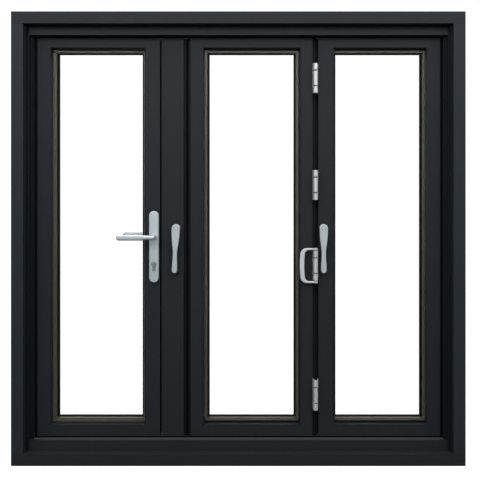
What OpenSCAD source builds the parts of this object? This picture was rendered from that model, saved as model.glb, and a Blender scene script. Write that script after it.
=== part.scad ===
// Three-leaf aluminium folding patio door set, as seen from the room that it closes.
// The left leaf is the entrance leaf. The other two are hinged to each other and to the right jamb.
// X runs to the right, Y from the room outwards, and Z up. The origin is the middle of the sill's
// underside, in the plane of the leaves' room faces.

/* [Outer frame] */
// Overall width of the frame
frame_w = 1500; // [1300:10:2000]
// Overall height of the frame
frame_h = 1500; // [1300:10:2200]
// Width of the frame's front face
face_w = 40; // [34:1:60]
// Depth from the frame's front face back to the leaves' room faces
recess = 75; // [70:1:100]
// Depth of each step in the side of a jamb, from the front
jamb_step_d = [25, 16, 17, 9]; // [6:1:30]
// How much further each step reaches into the opening
jamb_step_reach = [5, 6, 6, 4]; // [2:1:8]
// Depth of the lip that the jamb seal stands on
jamb_lip_d = 18; // [12:1:24]
// Reach of the jamb behind its lip, from the edge of the front face
jamb_rebate_reach = 10; // [4:1:14]
// Depth of the head and sill behind the leaves' room faces
frame_back = 85; // [80:1:110]

/* [Tracks] */
// Depth from the frame's front face back to the front of both tracks
track_recess = 41; // [25:1:60]
// Height of the head track below the head
head_track_h = 32; // [28:1:45]
// Height of the sill track above the sill
sill_track_h = 33; // [28:1:45]
// Height of the channel that the rollers run in
channel_h = 22; // [20:1:24]
// Width of the channel
channel_w = 26; // [24:1:30]
// Width of the slot between the channel's lips
slot_w = 10; // [10:1:14]
// Thickness of the channel's lips
channel_lip = 6; // [4:1:6]

/* [Leaves] */
// Width of the entrance leaf
entrance_w = 415; // [380:1:450]
// Thickness of each leaf
leaf_t = 60; // [56:1:70]
// Gap above and below each leaf
leaf_gap = 5; // [5:0.5:8]
// Gap between the jamb lip and the leaf beside it
side_gap = 8; // [6:0.5:10]
// Gap between the entrance leaf and the meeting stile
lock_gap = 5; // [5:0.5:7]
// Width of the groove that holds the hinges between the folding leaves
hinge_groove = 20; // [18:1:26]
// Face widths of the entrance leaf: hinge stile, lock stile, bottom rail, top rail
entrance_faces = [45, 50, 37, 32]; // [30:1:56]
// Face widths of the middle leaf, in the same order
middle_faces = [43, 40, 37, 32]; // [30:1:56]
// Face widths of the end leaf, in the same order
end_faces = [45, 45, 37, 32]; // [30:1:56]
// Reach of each leaf's outer glazing lip, in the same order
lip_reach = [62, 62, 59, 50]; // [48:1:70]
// Extra reach of the lip on the lock stile
lock_lip_extra = 3; // [0:1:8]
// Thickness of the glazing lip
lip_t = 10; // [8:1:12]

/* [Meeting stile] */
// Width of the meeting stile's face
meeting_w = 75; // [66:1:90]
// Depth of the meeting stile's front, in front of its cut back edge
meeting_front_d = 6; // [5:1:12]
// How far the edge behind that is cut back for the entrance leaf's swing
meeting_cut = 7; // [7:0.5:12]
// Width of the groove between the meeting stile and the middle leaf
groove_w = 23; // [20:1:30]
// Depth of that groove
groove_d = 12; // [8:1:20]
// Width of the seal slot in the middle of the groove
slot_seal_w = 7; // [4:1:9]
// Depth of the seal slot behind the groove's floor
slot_seal_d = 10; // [6:1:16]

/* [Glazing] */
// Thickness of one pane
pane_t = 4; // [3:1:6]
// Width of the cavity between the panes
cavity = 16; // [12:1:16]
// Gap between the pane's edge and the frame around it
pane_clearance = 4; // [2:0.5:4]
// Reach of the glazing bead over the glass
bead_w = 7; // [6:0.5:12]
// Reach of the bead's thin front part
bead_nose_w = 4; // [3:0.5:5]
// Depth of the bead's thin front part
bead_nose_d = 10; // [5:0.5:12]
// Thickness of the seal between the bead and the glass
bead_seal_t = 2.5; // [2:0.25:3]
// How much of each seal shows past the bead or lip
seal_show = 0.5; // [0.5:0.25:1.5]
// Width of the spacer bar between the panes
spacer_w = 8; // [6:0.5:8]
// Distance from the spacer bar's inner edge to the edge of the glazing lip
spacer_back = 4; // [3:0.5:5]

/* [Hinges] */
// Heights of the middle of the three lower hinges above the sill's underside
hinge_heights = [220, 656, 927]; // [140:1:980]
// Distance from the frame's top down to the middle of the top hinge
top_hinge_drop = 214; // [150:1:260]
// Height of one hinge
hinge_h = 100; // [80:1:110]
// Height of a hinge's middle knuckle
knuckle_mid_h = 50; // [40:1:56]
// Gap between two knuckles
knuckle_gap = 2; // [1:0.5:3]
// Outer diameter of a knuckle
knuckle_d = 15; // [12:0.5:16]
// Diameter of a hinge pin
pin_d = 7; // [5:0.5:8]
// Clearance around a hinge pin
pin_clearance = 0.3; // [0.2:0.05:0.4]
// Thickness of a hinge plate
hinge_plate_t = 3; // [2.5:0.5:4]
// Width of a hinge plate
hinge_plate_w = 32; // [26:1:36]
// Distance of the outer hinge axes from the jamb lip, towards the wall
axis_back = 1; // [0:0.5:3]
// Gap between the outer hinges' knuckles and the leaves' outer faces
knuckle_out = 0.5; // [0.5:0.25:2]
// Distance of the fold axis in front of the leaves' room faces
fold_axis_front = 18; // [15:1:22]
// Depth of the fold hinges' plates, which lie on the leaf edges in the hinge groove
fold_plate_d = 21; // [18:1:22]
// Gap between the edge of a leaf and the outside hinge plate on it
hinge_edge_gap = 1; // [0.5:0.5:3]

/* [Fold seals] */
// How far each seal reaches past the middle of the hinge groove
fold_seal_lap = 2; // [1:0.5:4]
// Depth of the seal on the middle leaf
fold_seal_d = 10; // [6:1:12]
// Gap between the two seals
fold_seal_gap = 1; // [0.5:0.5:2]
// Distance of the first seal behind the leaves' room faces
fold_seal_y = 22; // [22:1:30]

/* [Roller carriages] */
// Diameter of a wheel
wheel_d = 16; // [12:0.5:18]
// Width of a wheel
wheel_w = 5; // [4:0.5:6]
// Diameter of a wheel's axle
wheel_axle_d = 5; // [4:0.5:6]
// Distance of the wheels from the pivot, along the track
wheel_reach = 25; // [20:1:30]
// Gap beside the wheels and under the body
carriage_gap = 1; // [0.5:0.25:2]
// Length of the body
carriage_w = 76; // [60:1:90]
// Reach of the pivot pin past the head, downwards
pivot_drop = 78; // [75:1:100]
// Distances from the track down to the bracket's top and bottom
bracket_drop = [24, 74]; // [12:1:74]

/* [Pull handle] */
// Which hinge, counted from the sill, carries the pull handle
pull_hinge = 2; // [1:1:4]
// Reach of the pull handle from the fold axis to the middle of its grip
pull_reach = 45; // [38:1:52]
// How far the grip bows out past its ends
pull_bow = 4; // [1:0.5:6]
// Width of the grip
pull_grip_w = 17; // [12:0.5:20]
// Radius of the grip's outer corners
pull_corner = 18; // [18:1:24]
// Thickness of the grip, and height of its arms
pull_t = 9; // [7:0.5:11]

/* [Lever set] */
// Distance of the lever and cylinder from the entrance leaf's lock edge
lever_backset = 20; // [18:0.5:24]
// Height of the spindle above the sill's underside
spindle_z = 752; // [600:1:1100]
// Distance from the spindle down to the cylinder's plug
cylinder_drop = 92; // [72:1:100]
// Width of the handle plate
plate_w = 33; // [28:1:35]
// Height of the handle plate
plate_h = 243; // [220:1:260]
// Distance from the plate's top down to the spindle
plate_top = 87; // [60:1:100]
// Thickness of the handle plate
plate_t = 8; // [6:0.5:12]
// Width of the sloped rim around the plate
plate_rim = 2; // [1:0.5:3]
// Reach of the lever from the spindle to its tip
lever_reach = 121; // [100:1:135]
// Distance from the plate to the middle of the lever's grip
lever_out = 42; // [34:1:56]
// Height of the lever's grip
grip_h = 20; // [16:1:24]
// Thickness of the lever's grip
grip_t = 13; // [10:1:16]
// Height of the lever's neck
neck_h = 15; // [12:1:18]
// Diameter of the lever's hub
hub_d = 18; // [14:1:20]
// Diameter of the spindle
spindle_d = 11; // [9:1:12]
// Clearance around the spindle and the cylinder
lock_clearance = 1; // [0.5:0.25:1.5]
// How far the cylinder stands out of each plate
cylinder_out = 4; // [2:0.5:6]
// Diameter of the cylinder's barrel
cylinder_d = 17; // [15:0.5:19]
// Width of the tail under the barrel
cylinder_tail_w = 10; // [8:0.5:11]
// Reach of the tail below the middle of the barrel
cylinder_tail = 24.5; // [20:0.5:26]

/* [Shoot bolt handles] */
// Distance of the first handle's pivot from the meeting stile's free edge
bolt_1_inset = 50; // [30:1:52]
// Distance of the second handle's pivot from the end leaf's free edge
bolt_2_inset = 17; // [15:1:26]
// Height of both pivots above the sill's underside
bolt_z = 781; // [700:1:900]
// Reach of a handle from its pivot down to its tip
bolt_reach = 152; // [120:1:160]
// Diameter of the handle's head
bolt_head_d = 28; // [24:1:30]
// Width of the handle's neck
bolt_neck_w = 12; // [9:0.5:15]
// Width of the handle's tip
bolt_tip_w = 20; // [15:0.5:22]
// Thickness of the handle
bolt_t = 9; // [7:0.5:11]
// Diameter of the rose behind each handle
bolt_rose_d = 28; // [24:1:30]
// Thickness of that rose
bolt_rose_t = 6; // [4:0.5:8]
// How far the first handle leans from upright, in degrees
bolt_1_lean = 1.4; // [0:0.1:3]
// Gap between the rose and the back of the handle
bolt_stand = 8; // [6:0.5:12]

/* [Fixings] */
// Diameter of the fixing holes through each jamb
fixing_d = 7; // [5:0.5:8]
// Distance of the lowest and highest fixing hole from the frame's ends
fixing_end = 150; // [110:5:200]
// Depth of the fixing holes behind the leaves' room faces
fixing_y = 35; // [25:1:45]

/* [Hidden] */
$fn = 48;

frame_grey = "#33383c";
rubber_black = "#101112";
hardware_silver = "#b4b6b8";
spacer_grey = "#8a847c";
glass_tint = [0.8, 0.88, 0.9, 0.35];

// How far a cut runs past the face that it opens
past = 1;
// Running gap of small hardware that turns on a fixed piece
run_gap = 0.3;
// Gap that the frame seals leave in front of a leaf
seal_gap = 1;
// Depth of the frame seals
frame_seal_d = 6;
// How far the frame seals lie behind the leaves' room faces
frame_seal_y = 2;

front_y = -recess;
track_y = track_recess - recess;
jamb_lip_reach = total(jamb_step_reach, 4);
jamb_lip_x = frame_w / 2 - face_w - jamb_lip_reach;
soffit_z = frame_h - face_w - head_track_h;
sill_top_z = face_w + sill_track_h;
leaf_z = [sill_top_z + leaf_gap, soffit_z - leaf_gap];
leaf_end_x = jamb_lip_x - side_gap;
lip_y = leaf_t - lip_t;

// The two folding leaves share the width that the entrance leaf and the meeting stile leave
fold_w = (2 * leaf_end_x - entrance_w - lock_gap - meeting_w - groove_w - hinge_groove) / 2;
entrance_x = [-leaf_end_x, entrance_w - leaf_end_x];
meeting_x = [entrance_x[1] + lock_gap, entrance_x[1] + lock_gap + meeting_w];
middle_x = [meeting_x[1] + groove_w, meeting_x[1] + groove_w + fold_w];
end_x = [leaf_end_x - fold_w, leaf_end_x];

// The room side of the glass lies behind the bead and its seal
glass_y = lip_y - bead_seal_t - 2 * pane_t - cavity;
bead_d = glass_y - bead_seal_t;
pane_2_y = glass_y + pane_t + cavity;

hinge_z = concat(hinge_heights, [frame_h - top_hinge_drop]);
axis_x = jamb_lip_x + axis_back;
axis_y = leaf_t + knuckle_d / 2 + knuckle_out;
fold_x = (middle_x[1] + end_x[0]) / 2;
roller_x = (meeting_x[1] + middle_x[0]) / 2;
pull_z = hinge_z[pull_hinge - 1];

lever_x = entrance_x[1] - lever_backset;
cylinder_z = spindle_z - cylinder_drop;
bolt_1_x = meeting_x[0] + bolt_1_inset;
bolt_2_x = end_x[0] + bolt_2_inset;

function total(list, count) = count == 0 ? 0 : list[count - 1] + total(list, count - 1);

// A rectangle is [left, right, bottom, top]. Insets are given in the same order.
function inset(rect, by) = [rect[0] + by[0], rect[1] - by[1], rect[2] + by[2], rect[3] - by[3]];
function all_round(by) = [by, by, by, by];
function leaf_rect(x) = [x[0], x[1], leaf_z[0], leaf_z[1]];

function entrance_lips() = lip_reach + [0, lock_lip_extra, 0, 0];

// Corners of the mitred member on one side of a frame, between an outer and an inner rectangle
function member(side, o, i) =
    side == "left" ? [[o[0], o[2]], [o[0], o[3]], [i[0], i[3]], [i[0], i[2]]] :
    side == "right" ? [[o[1], o[2]], [o[1], o[3]], [i[1], i[3]], [i[1], i[2]]] :
    side == "bottom" ? [[o[0], o[2]], [o[1], o[2]], [i[1], i[2]], [i[0], i[2]]] :
    [[o[0], o[3]], [o[1], o[3]], [i[1], i[3]], [i[0], i[3]]];

// Outline of a jamb, from its wall face inwards, in plan
function jamb_outline() = concat(
    [[0, leaf_t], [0, front_y], [face_w, front_y]],
    [for (i = [1 : 4], end = [0, 1])
        [face_w + total(jamb_step_reach, i - 1 + end), front_y + total(jamb_step_d, i)]],
    [[face_w + jamb_lip_reach, front_y + total(jamb_step_d, 4) + jamb_lip_d],
     [face_w + jamb_rebate_reach, front_y + total(jamb_step_d, 4) + jamb_lip_d],
     [face_w + jamb_rebate_reach, leaf_t]]);

module box(x, y, z) {
    translate([x[0], y[0], z[0]]) cube([x[1] - x[0], y[1] - y[0], z[1] - z[0]]);
}

// An outline in X and Z, given a thickness along Y
module slab(points, y) {
    translate([0, y[1], 0]) rotate([90, 0, 0]) linear_extrude(y[1] - y[0]) polygon(points);
}

// A round bar along Y
module bar_y(x, y, z, d) {
    translate([x, y[0], z]) rotate([-90, 0, 0]) cylinder(h = y[1] - y[0], d = d);
}

// A round bar along Z
module bar_z(x, y, z, d) {
    translate([x, y, z[0]]) cylinder(h = z[1] - z[0], d = d);
}

module ring(outer, inner, y) {
    difference() {
        box([outer[0], outer[1]], y, [outer[2], outer[3]]);
        box([inner[0], inner[1]], [y[0] - past, y[1] + past], [inner[2], inner[3]]);
    }
}

// Sub-parts of the outer frame

module frame_head() {
    color(frame_grey)
        box([-frame_w / 2, frame_w / 2], [front_y, frame_back], [frame_h - face_w, frame_h]);
}

module frame_sill() {
    color(frame_grey) box([-frame_w / 2, frame_w / 2], [front_y, frame_back], [0, face_w]);
}

module jamb_left() {
    color(frame_grey) difference() {
        translate([-frame_w / 2, 0, face_w])
            linear_extrude(frame_h - 2 * face_w) polygon(jamb_outline());
        for (i = [0 : 3])
            translate([-frame_w / 2 - past, fixing_y, fixing_z(i)])
                rotate([0, 90, 0]) cylinder(h = face_w + jamb_rebate_reach + 2 * past, d = fixing_d);
    }
}

function fixing_z(i) = fixing_end + i * (frame_h - 2 * fixing_end) / 3;

module jamb_right() {
    mirror([1, 0, 0]) jamb_left();
}

// A track fills the opening between the jambs and follows their steps.
// Its channel opens towards the leaves through a slot.
module track(z, mouth) {
    lips = mouth > 0 ? [z[1] - channel_lip, z[1] + past] : [z[0] - past, z[0] + channel_lip];
    channel = mouth > 0 ? [lips[0] - channel_h, lips[0]] : [lips[1], lips[1] + channel_h];
    opening_w = frame_w - 2 * face_w;
    difference() {
        box([-opening_w / 2, opening_w / 2], [track_y, frame_back], z);
        for (side = [0, 1])
            mirror([side, 0, 0]) translate([-frame_w / 2, 0, z[0] - past])
                linear_extrude(z[1] - z[0] + 2 * past) polygon(jamb_outline());
        box([-opening_w, opening_w], [axis_y - channel_w / 2, axis_y + channel_w / 2], channel);
        box([-opening_w, opening_w], [axis_y - slot_w / 2, axis_y + slot_w / 2], lips);
    }
}

module head_track() {
    color(frame_grey) track([soffit_z, frame_h - face_w], -1);
}

module sill_track() {
    color(frame_grey) track([face_w, sill_top_z], 1);
}

module frame_seals() {
    seal_y = [frame_seal_y, frame_seal_y + frame_seal_d];
    color(rubber_black) {
        for (side = [0, 1])
            mirror([side, 0, 0])
                box([-jamb_lip_x, -leaf_end_x - seal_gap], seal_y, [sill_top_z, soffit_z]);
        box([-leaf_end_x, leaf_end_x], seal_y, [leaf_z[1] + seal_gap, soffit_z]);
        box([-leaf_end_x, leaf_end_x], seal_y, [sill_top_z, leaf_z[0] - seal_gap]);
    }
}

// Sub-parts that all three leaves have

module leaf_member(side, x, faces, lips) {
    rect = leaf_rect(x);
    slab(member(side, rect, inset(rect, faces)), [0, lip_y]);
    slab(member(side, rect, inset(rect, lips)), [lip_y, leaf_t]);
}

module panes(x, faces) {
    rect = inset(inset(leaf_rect(x), faces), all_round(pane_clearance));
    for (y = [glass_y, pane_2_y])
        box([rect[0], rect[1]], [y, y + pane_t], [rect[2], rect[3]]);
}

module spacer(x, lips) {
    edge = inset(leaf_rect(x), lips);
    ring(inset(edge, all_round(-spacer_back - spacer_w)), inset(edge, all_round(-spacer_back)),
        [glass_y + pane_t, pane_2_y]);
}

module beads(x, faces) {
    rect = inset(leaf_rect(x), faces);
    ring(rect, inset(rect, all_round(bead_nose_w)), [0, bead_nose_d]);
    ring(rect, inset(rect, all_round(bead_w)), [bead_nose_d, bead_d]);
}

module gaskets(x, faces, lips) {
    rect = inset(leaf_rect(x), faces);
    edge = inset(leaf_rect(x), lips);
    ring(rect, inset(rect, all_round(bead_w + seal_show)), [bead_d, glass_y]);
    ring(rect, inset(edge, all_round(seal_show)), [pane_2_y + pane_t, lip_y]);
}

// The entrance leaf

module entrance_hinge_stile() {
    color(frame_grey) leaf_member("left", entrance_x, entrance_faces, entrance_lips());
}

module entrance_lock_stile() {
    color(frame_grey) difference() {
        leaf_member("right", entrance_x, entrance_faces, entrance_lips());
        bar_y(lever_x, [-past, leaf_t + past], spindle_z, spindle_d + 2 * lock_clearance);
        cylinder_outline(lock_clearance, [-past, leaf_t + past]);
    }
}

module entrance_top_rail() {
    color(frame_grey) leaf_member("top", entrance_x, entrance_faces, entrance_lips());
}

module entrance_bottom_rail() {
    color(frame_grey) leaf_member("bottom", entrance_x, entrance_faces, entrance_lips());
}

module entrance_glass() {
    color(glass_tint) panes(entrance_x, entrance_faces);
}

module entrance_spacer() {
    color(spacer_grey) spacer(entrance_x, entrance_lips());
}

module entrance_beads() {
    color(frame_grey) beads(entrance_x, entrance_faces);
}

module entrance_gaskets() {
    color(rubber_black) gaskets(entrance_x, entrance_faces, entrance_lips());
}

// The middle leaf

module middle_left_stile() {
    color(frame_grey) leaf_member("left", middle_x, middle_faces, lip_reach);
}

module middle_right_stile() {
    color(frame_grey) leaf_member("right", middle_x, middle_faces, lip_reach);
}

module middle_top_rail() {
    color(frame_grey) leaf_member("top", middle_x, middle_faces, lip_reach);
}

module middle_bottom_rail() {
    color(frame_grey) leaf_member("bottom", middle_x, middle_faces, lip_reach);
}

module middle_glass() {
    color(glass_tint) panes(middle_x, middle_faces);
}

module middle_spacer() {
    color(spacer_grey) spacer(middle_x, lip_reach);
}

module middle_beads() {
    color(frame_grey) beads(middle_x, middle_faces);
}

module middle_gaskets() {
    color(rubber_black) gaskets(middle_x, middle_faces, lip_reach);
}

// The end leaf

module end_left_stile() {
    color(frame_grey) leaf_member("left", end_x, end_faces, lip_reach);
}

module end_right_stile() {
    color(frame_grey) leaf_member("right", end_x, end_faces, lip_reach);
}

module end_top_rail() {
    color(frame_grey) leaf_member("top", end_x, end_faces, lip_reach);
}

module end_bottom_rail() {
    color(frame_grey) leaf_member("bottom", end_x, end_faces, lip_reach);
}

module end_glass() {
    color(glass_tint) panes(end_x, end_faces);
}

module end_spacer() {
    color(spacer_grey) spacer(end_x, lip_reach);
}

module end_beads() {
    color(frame_grey) beads(end_x, end_faces);
}

module end_gaskets() {
    color(rubber_black) gaskets(end_x, end_faces, lip_reach);
}

// The meeting stile is fixed to the middle leaf, with a groove and a seal slot between them

module meeting_stile() {
    slot_x = [roller_x - slot_seal_w / 2, roller_x + slot_seal_w / 2];
    color(frame_grey) difference() {
        union() {
            box(meeting_x, [0, meeting_front_d], leaf_z);
            box([meeting_x[0] + meeting_cut, meeting_x[1]], [meeting_front_d, leaf_t], leaf_z);
            box([meeting_x[1], middle_x[0]], [groove_d, leaf_t], leaf_z);
        }
        box(slot_x, [groove_d - past, groove_d + slot_seal_d],
            [leaf_z[0] - past, leaf_z[1] + past]);
    }
}

// Two seals lap each other in the groove between the folding leaves
module fold_seals() {
    second_y = fold_seal_y + fold_seal_d + fold_seal_gap;
    color(rubber_black) {
        box([middle_x[1], fold_x + fold_seal_lap], [fold_seal_y, fold_seal_y + fold_seal_d], leaf_z);
        box([fold_x - fold_seal_lap, end_x[0]], [second_y, fold_seal_y + 2 * fold_seal_d], leaf_z);
    }
}

// Hinges

function outer_knuckles(z) = [
    [z - hinge_h / 2, z - knuckle_mid_h / 2 - knuckle_gap],
    [z + knuckle_mid_h / 2 + knuckle_gap, z + hinge_h / 2]];
function mid_knuckle(z) = [z - knuckle_mid_h / 2, z + knuckle_mid_h / 2];

// The plate, arms and outer knuckles of an outside hinge, with its pin, on the left jamb
module jamb_half(z) {
    plate_x = -axis_x - knuckle_d / 2 - hinge_plate_t / 2;
    box([plate_x - hinge_plate_w, plate_x], [leaf_t, leaf_t + hinge_plate_t],
        [z - hinge_h / 2, z + hinge_h / 2]);
    for (k = outer_knuckles(z)) {
        box([plate_x - hinge_plate_t, -axis_x], [leaf_t, axis_y], k);
        bar_z(-axis_x, axis_y, k, knuckle_d);
    }
    bar_z(-axis_x, axis_y, [z - hinge_h / 2, z + hinge_h / 2], pin_d);
}

// The plate, arm and middle knuckle on the leaf
module leaf_half(z) {
    plate_x = -leaf_end_x + hinge_edge_gap;
    difference() {
        union() {
            box([plate_x, plate_x + hinge_plate_w], [leaf_t, leaf_t + hinge_plate_t],
                [z - hinge_h / 2, z + hinge_h / 2]);
            box([-axis_x, plate_x + hinge_plate_t], [leaf_t, axis_y], mid_knuckle(z));
            bar_z(-axis_x, axis_y, mid_knuckle(z), knuckle_d);
        }
        bar_z(-axis_x, axis_y, [z - hinge_h, z + hinge_h], pin_d + 2 * pin_clearance);
    }
}

module jamb_hinge_halves() {
    color(hardware_silver) for (z = hinge_z) jamb_half(z);
}

module entrance_hinge_halves() {
    color(hardware_silver) for (z = hinge_z) leaf_half(z);
}

// The same hinges, mirrored, hold the end leaf to the right jamb
module end_hinges() {
    color(hardware_silver) mirror([1, 0, 0]) for (z = hinge_z) {
        jamb_half(z);
        leaf_half(z);
    }
}

module middle_hinge_halves() {
    color(hardware_silver) for (z = hinge_z) {
        box([middle_x[1], middle_x[1] + hinge_plate_t], [0, fold_plate_d],
            [z - hinge_h / 2, z + hinge_h / 2]);
        for (k = outer_knuckles(z)) {
            box([middle_x[1], middle_x[1] + 2 * hinge_plate_t], [-fold_axis_front, 0], k);
            bar_z(fold_x, -fold_axis_front, k, knuckle_d);
        }
        bar_z(fold_x, -fold_axis_front, [z - hinge_h / 2, z + hinge_h / 2], pin_d);
    }
}

module end_hinge_halves() {
    color(hardware_silver) for (z = hinge_z) difference() {
        union() {
            box([end_x[0] - hinge_plate_t, end_x[0]], [0, fold_plate_d],
                [z - hinge_h / 2, z + hinge_h / 2]);
            box([end_x[0] - 2 * hinge_plate_t, end_x[0]], [-fold_axis_front, 0], mid_knuckle(z));
            bar_z(fold_x, -fold_axis_front, mid_knuckle(z), knuckle_d);
        }
        bar_z(fold_x, -fold_axis_front, [z - hinge_h, z + hinge_h], pin_d + 2 * pin_clearance);
    }
}

// Points on a quarter circle, turning by the angles [from, to]
function corner(x, z, r, turn) = [for (i = [0 : 6])
    let (a = turn[0] + (turn[1] - turn[0]) * i / 6) [x + r * cos(a), z + r * sin(a)]];

// Sideways bow of the grip at a share t of its height
function bow(t) = -pull_bow * sin(180 * t);

// The grip bows out between two arms, whose eyes sit on the ends of the hinge
module pull_handle() {
    arm_z = hinge_h / 2 + run_gap;
    top = arm_z + pull_t;
    out_x = -pull_reach - pull_grip_w / 2;
    in_r = pull_corner - pull_t;
    out_r = [out_x + pull_corner, top - pull_corner];
    in_c = [out_x + pull_grip_w + in_r, arm_z - in_r];
    steps = 16;
    half = concat([[0, top]], corner(out_r[0], out_r[1], pull_corner, [90, 180]));
    inner_half = concat(corner(in_c[0], in_c[1], in_r, [180, 90]), [[0, arm_z]]);
    outer = [for (i = [1 : steps - 1]) [out_x, out_r[1] * (1 - 2 * i / steps)]];
    inner = [for (i = [1 : steps - 1]) [out_x + pull_grip_w, -in_c[1] * (1 - 2 * i / steps)]];
    outline = concat(half, outer, flip(half), flip(inner_half), inner, inner_half);
    color(hardware_silver) translate([fold_x, 0, pull_z]) {
        slab([for (p = outline) [p[0] + bow((p[1] + top) / (2 * top)), p[1]]],
            [-fold_axis_front - pull_t / 2, -fold_axis_front + pull_t / 2]);
        for (z = [-top, arm_z]) bar_z(0, -fold_axis_front, [z, z + pull_t], knuckle_d);
    }
}

// The same points upside down and in the opposite order
function flip(points) = [for (i = [len(points) - 1 : -1 : 0]) [points[i][0], -points[i][1]]];

// A carriage runs on four wheels in the channel. Its pivot pin comes out through the slot and
// turns in a bracket on the outside of the meeting stile.
module carriage() {
    lip_top = soffit_z + channel_lip;
    wheel_z = lip_top + wheel_d / 2;
    outer_y = [axis_y - channel_w / 2 + carriage_gap, axis_y + channel_w / 2 - carriage_gap];
    inner_y = [outer_y[0] + wheel_w, outer_y[1] - wheel_w];
    for (x = [-wheel_reach, wheel_reach]) {
        bar_y(roller_x + x, outer_y, wheel_z, wheel_axle_d);
        bar_y(roller_x + x, [outer_y[0], inner_y[0]], wheel_z, wheel_d);
        bar_y(roller_x + x, [inner_y[1], outer_y[1]], wheel_z, wheel_d);
    }
    body_z = [lip_top + carriage_gap, lip_top + wheel_d];
    box([roller_x - carriage_w / 2, roller_x + carriage_w / 2], inner_y, body_z);
    bar_z(roller_x, axis_y, [soffit_z - pivot_drop, body_z[0] + carriage_gap], pin_d);
}

module carriage_bracket() {
    bracket_z = [soffit_z - bracket_drop[1], soffit_z - bracket_drop[0]];
    box([roller_x - hinge_plate_w, roller_x + hinge_plate_w], [leaf_t, leaf_t + hinge_plate_t],
        bracket_z);
    box([roller_x - knuckle_d / 2, roller_x + knuckle_d / 2], [leaf_t, axis_y], bracket_z);
    bar_z(roller_x, axis_y, bracket_z, knuckle_d);
}

module roller_carriages() {
    middle_z = (soffit_z + sill_top_z) / 2;
    color(hardware_silver) for (flip = [0, 1])
        translate([0, 0, middle_z]) mirror([0, 0, flip]) translate([0, 0, -middle_z]) {
            carriage();
            carriage_bracket();
        }
}

// The lever set

// The cylinder's outline is a round barrel over a narrower tail with a round end
module cylinder_outline(margin, y) {
    tail_z = cylinder_z - cylinder_tail + cylinder_tail_w / 2;
    bar_y(lever_x, y, cylinder_z, cylinder_d + 2 * margin);
    box([lever_x - cylinder_tail_w / 2 - margin, lever_x + cylinder_tail_w / 2 + margin], y,
        [tail_z, cylinder_z]);
    bar_y(lever_x, y, tail_z, cylinder_tail_w + 2 * margin);
}

// One layer of a handle plate, with round ends
module plate_layer(margin, y) {
    r = plate_w / 2 - margin;
    top = spindle_z + plate_top - plate_w / 2;
    bottom = spindle_z + plate_top - plate_h + plate_w / 2;
    box([lever_x - r, lever_x + r], y, [bottom, top]);
    bar_y(lever_x, y, bottom, 2 * r);
    bar_y(lever_x, y, top, 2 * r);
}

module handle_plates() {
    color(hardware_silver) difference() {
        union() {
            plate_layer(0, [-plate_t + plate_rim, 0]);
            plate_layer(plate_rim, [-plate_t, -plate_t + plate_rim]);
            plate_layer(0, [leaf_t, leaf_t + plate_t - plate_rim]);
            plate_layer(plate_rim, [leaf_t + plate_t - plate_rim, leaf_t + plate_t]);
        }
        bar_y(lever_x, [-plate_t - past, leaf_t + plate_t + past], spindle_z,
            spindle_d + 2 * run_gap);
        cylinder_outline(run_gap, [-plate_t - past, leaf_t + plate_t + past]);
    }
}

module lock_cylinder() {
    color(hardware_silver)
        cylinder_outline(0, [-plate_t - cylinder_out, leaf_t + plate_t + cylinder_out]);
}

// One lever on the room side, pointing away from the lock edge
module lever() {
    grip_y = [-plate_t - lever_out - grip_t / 2, -plate_t - lever_out + grip_t / 2];
    grip_r = grip_h / 2;
    neck_x = lever_x - lever_reach / 4;
    bar_y(lever_x, [grip_y[0], -plate_t - run_gap], spindle_z, hub_d);
    box([neck_x, lever_x], grip_y, [spindle_z - neck_h / 2, spindle_z + neck_h / 2]);
    box([lever_x - lever_reach + grip_r, neck_x], grip_y, [spindle_z - grip_r, spindle_z + grip_r]);
    bar_y(neck_x, grip_y, spindle_z, grip_h);
    bar_y(lever_x - lever_reach + grip_r, grip_y, spindle_z, grip_h);
}

// Both levers and the spindle turn as one
module levers() {
    color(hardware_silver) {
        lever();
        translate([0, leaf_t, 0]) mirror([0, 1, 0]) lever();
        bar_y(lever_x, [-plate_t - past, leaf_t + plate_t + past], spindle_z, spindle_d);
    }
}

// Shoot bolt handles

module bolt_roses() {
    color(hardware_silver) for (x = [bolt_1_x, bolt_2_x])
        bar_y(x, [-bolt_rose_t, 0], bolt_z, bolt_rose_d);
}

// Half the handle's width at a share t of the way from its pivot to its tip
function bolt_half_w(t) =
    t < 0.6 ? bolt_neck_w / 2 + (bolt_head_d - bolt_neck_w) / 2 * (1 + cos(300 * t)) / 2 :
    bolt_neck_w / 2 + (bolt_tip_w - bolt_neck_w) / 2 * (1 - cos(450 * (t - 0.6))) / 2;

// A flat handle that hangs from its pivot, narrow in the middle, with a round tip
module bolt_handle(x, lean) {
    steps = 24;
    length = bolt_reach - bolt_tip_w / 2;
    handle_y = [-bolt_rose_t - bolt_stand - bolt_t, -bolt_rose_t - bolt_stand];
    outline = concat(
        [for (i = [0 : steps]) [bolt_half_w(i / steps), -length * i / steps]],
        [for (i = [steps : -1 : 0]) [-bolt_half_w(i / steps), -length * i / steps]]);
    translate([x, 0, bolt_z]) rotate([0, lean, 0]) {
        slab(outline, handle_y);
        bar_y(0, handle_y, 0, bolt_head_d);
        bar_y(0, handle_y, -length, bolt_tip_w);
        bar_y(0, [handle_y[0], -bolt_rose_t - run_gap], 0, hub_d);
    }
}

module bolt_handle_1() {
    color(hardware_silver) bolt_handle(bolt_1_x, bolt_1_lean);
}

module bolt_handle_2() {
    color(hardware_silver) bolt_handle(bolt_2_x, 0);
}

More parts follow.
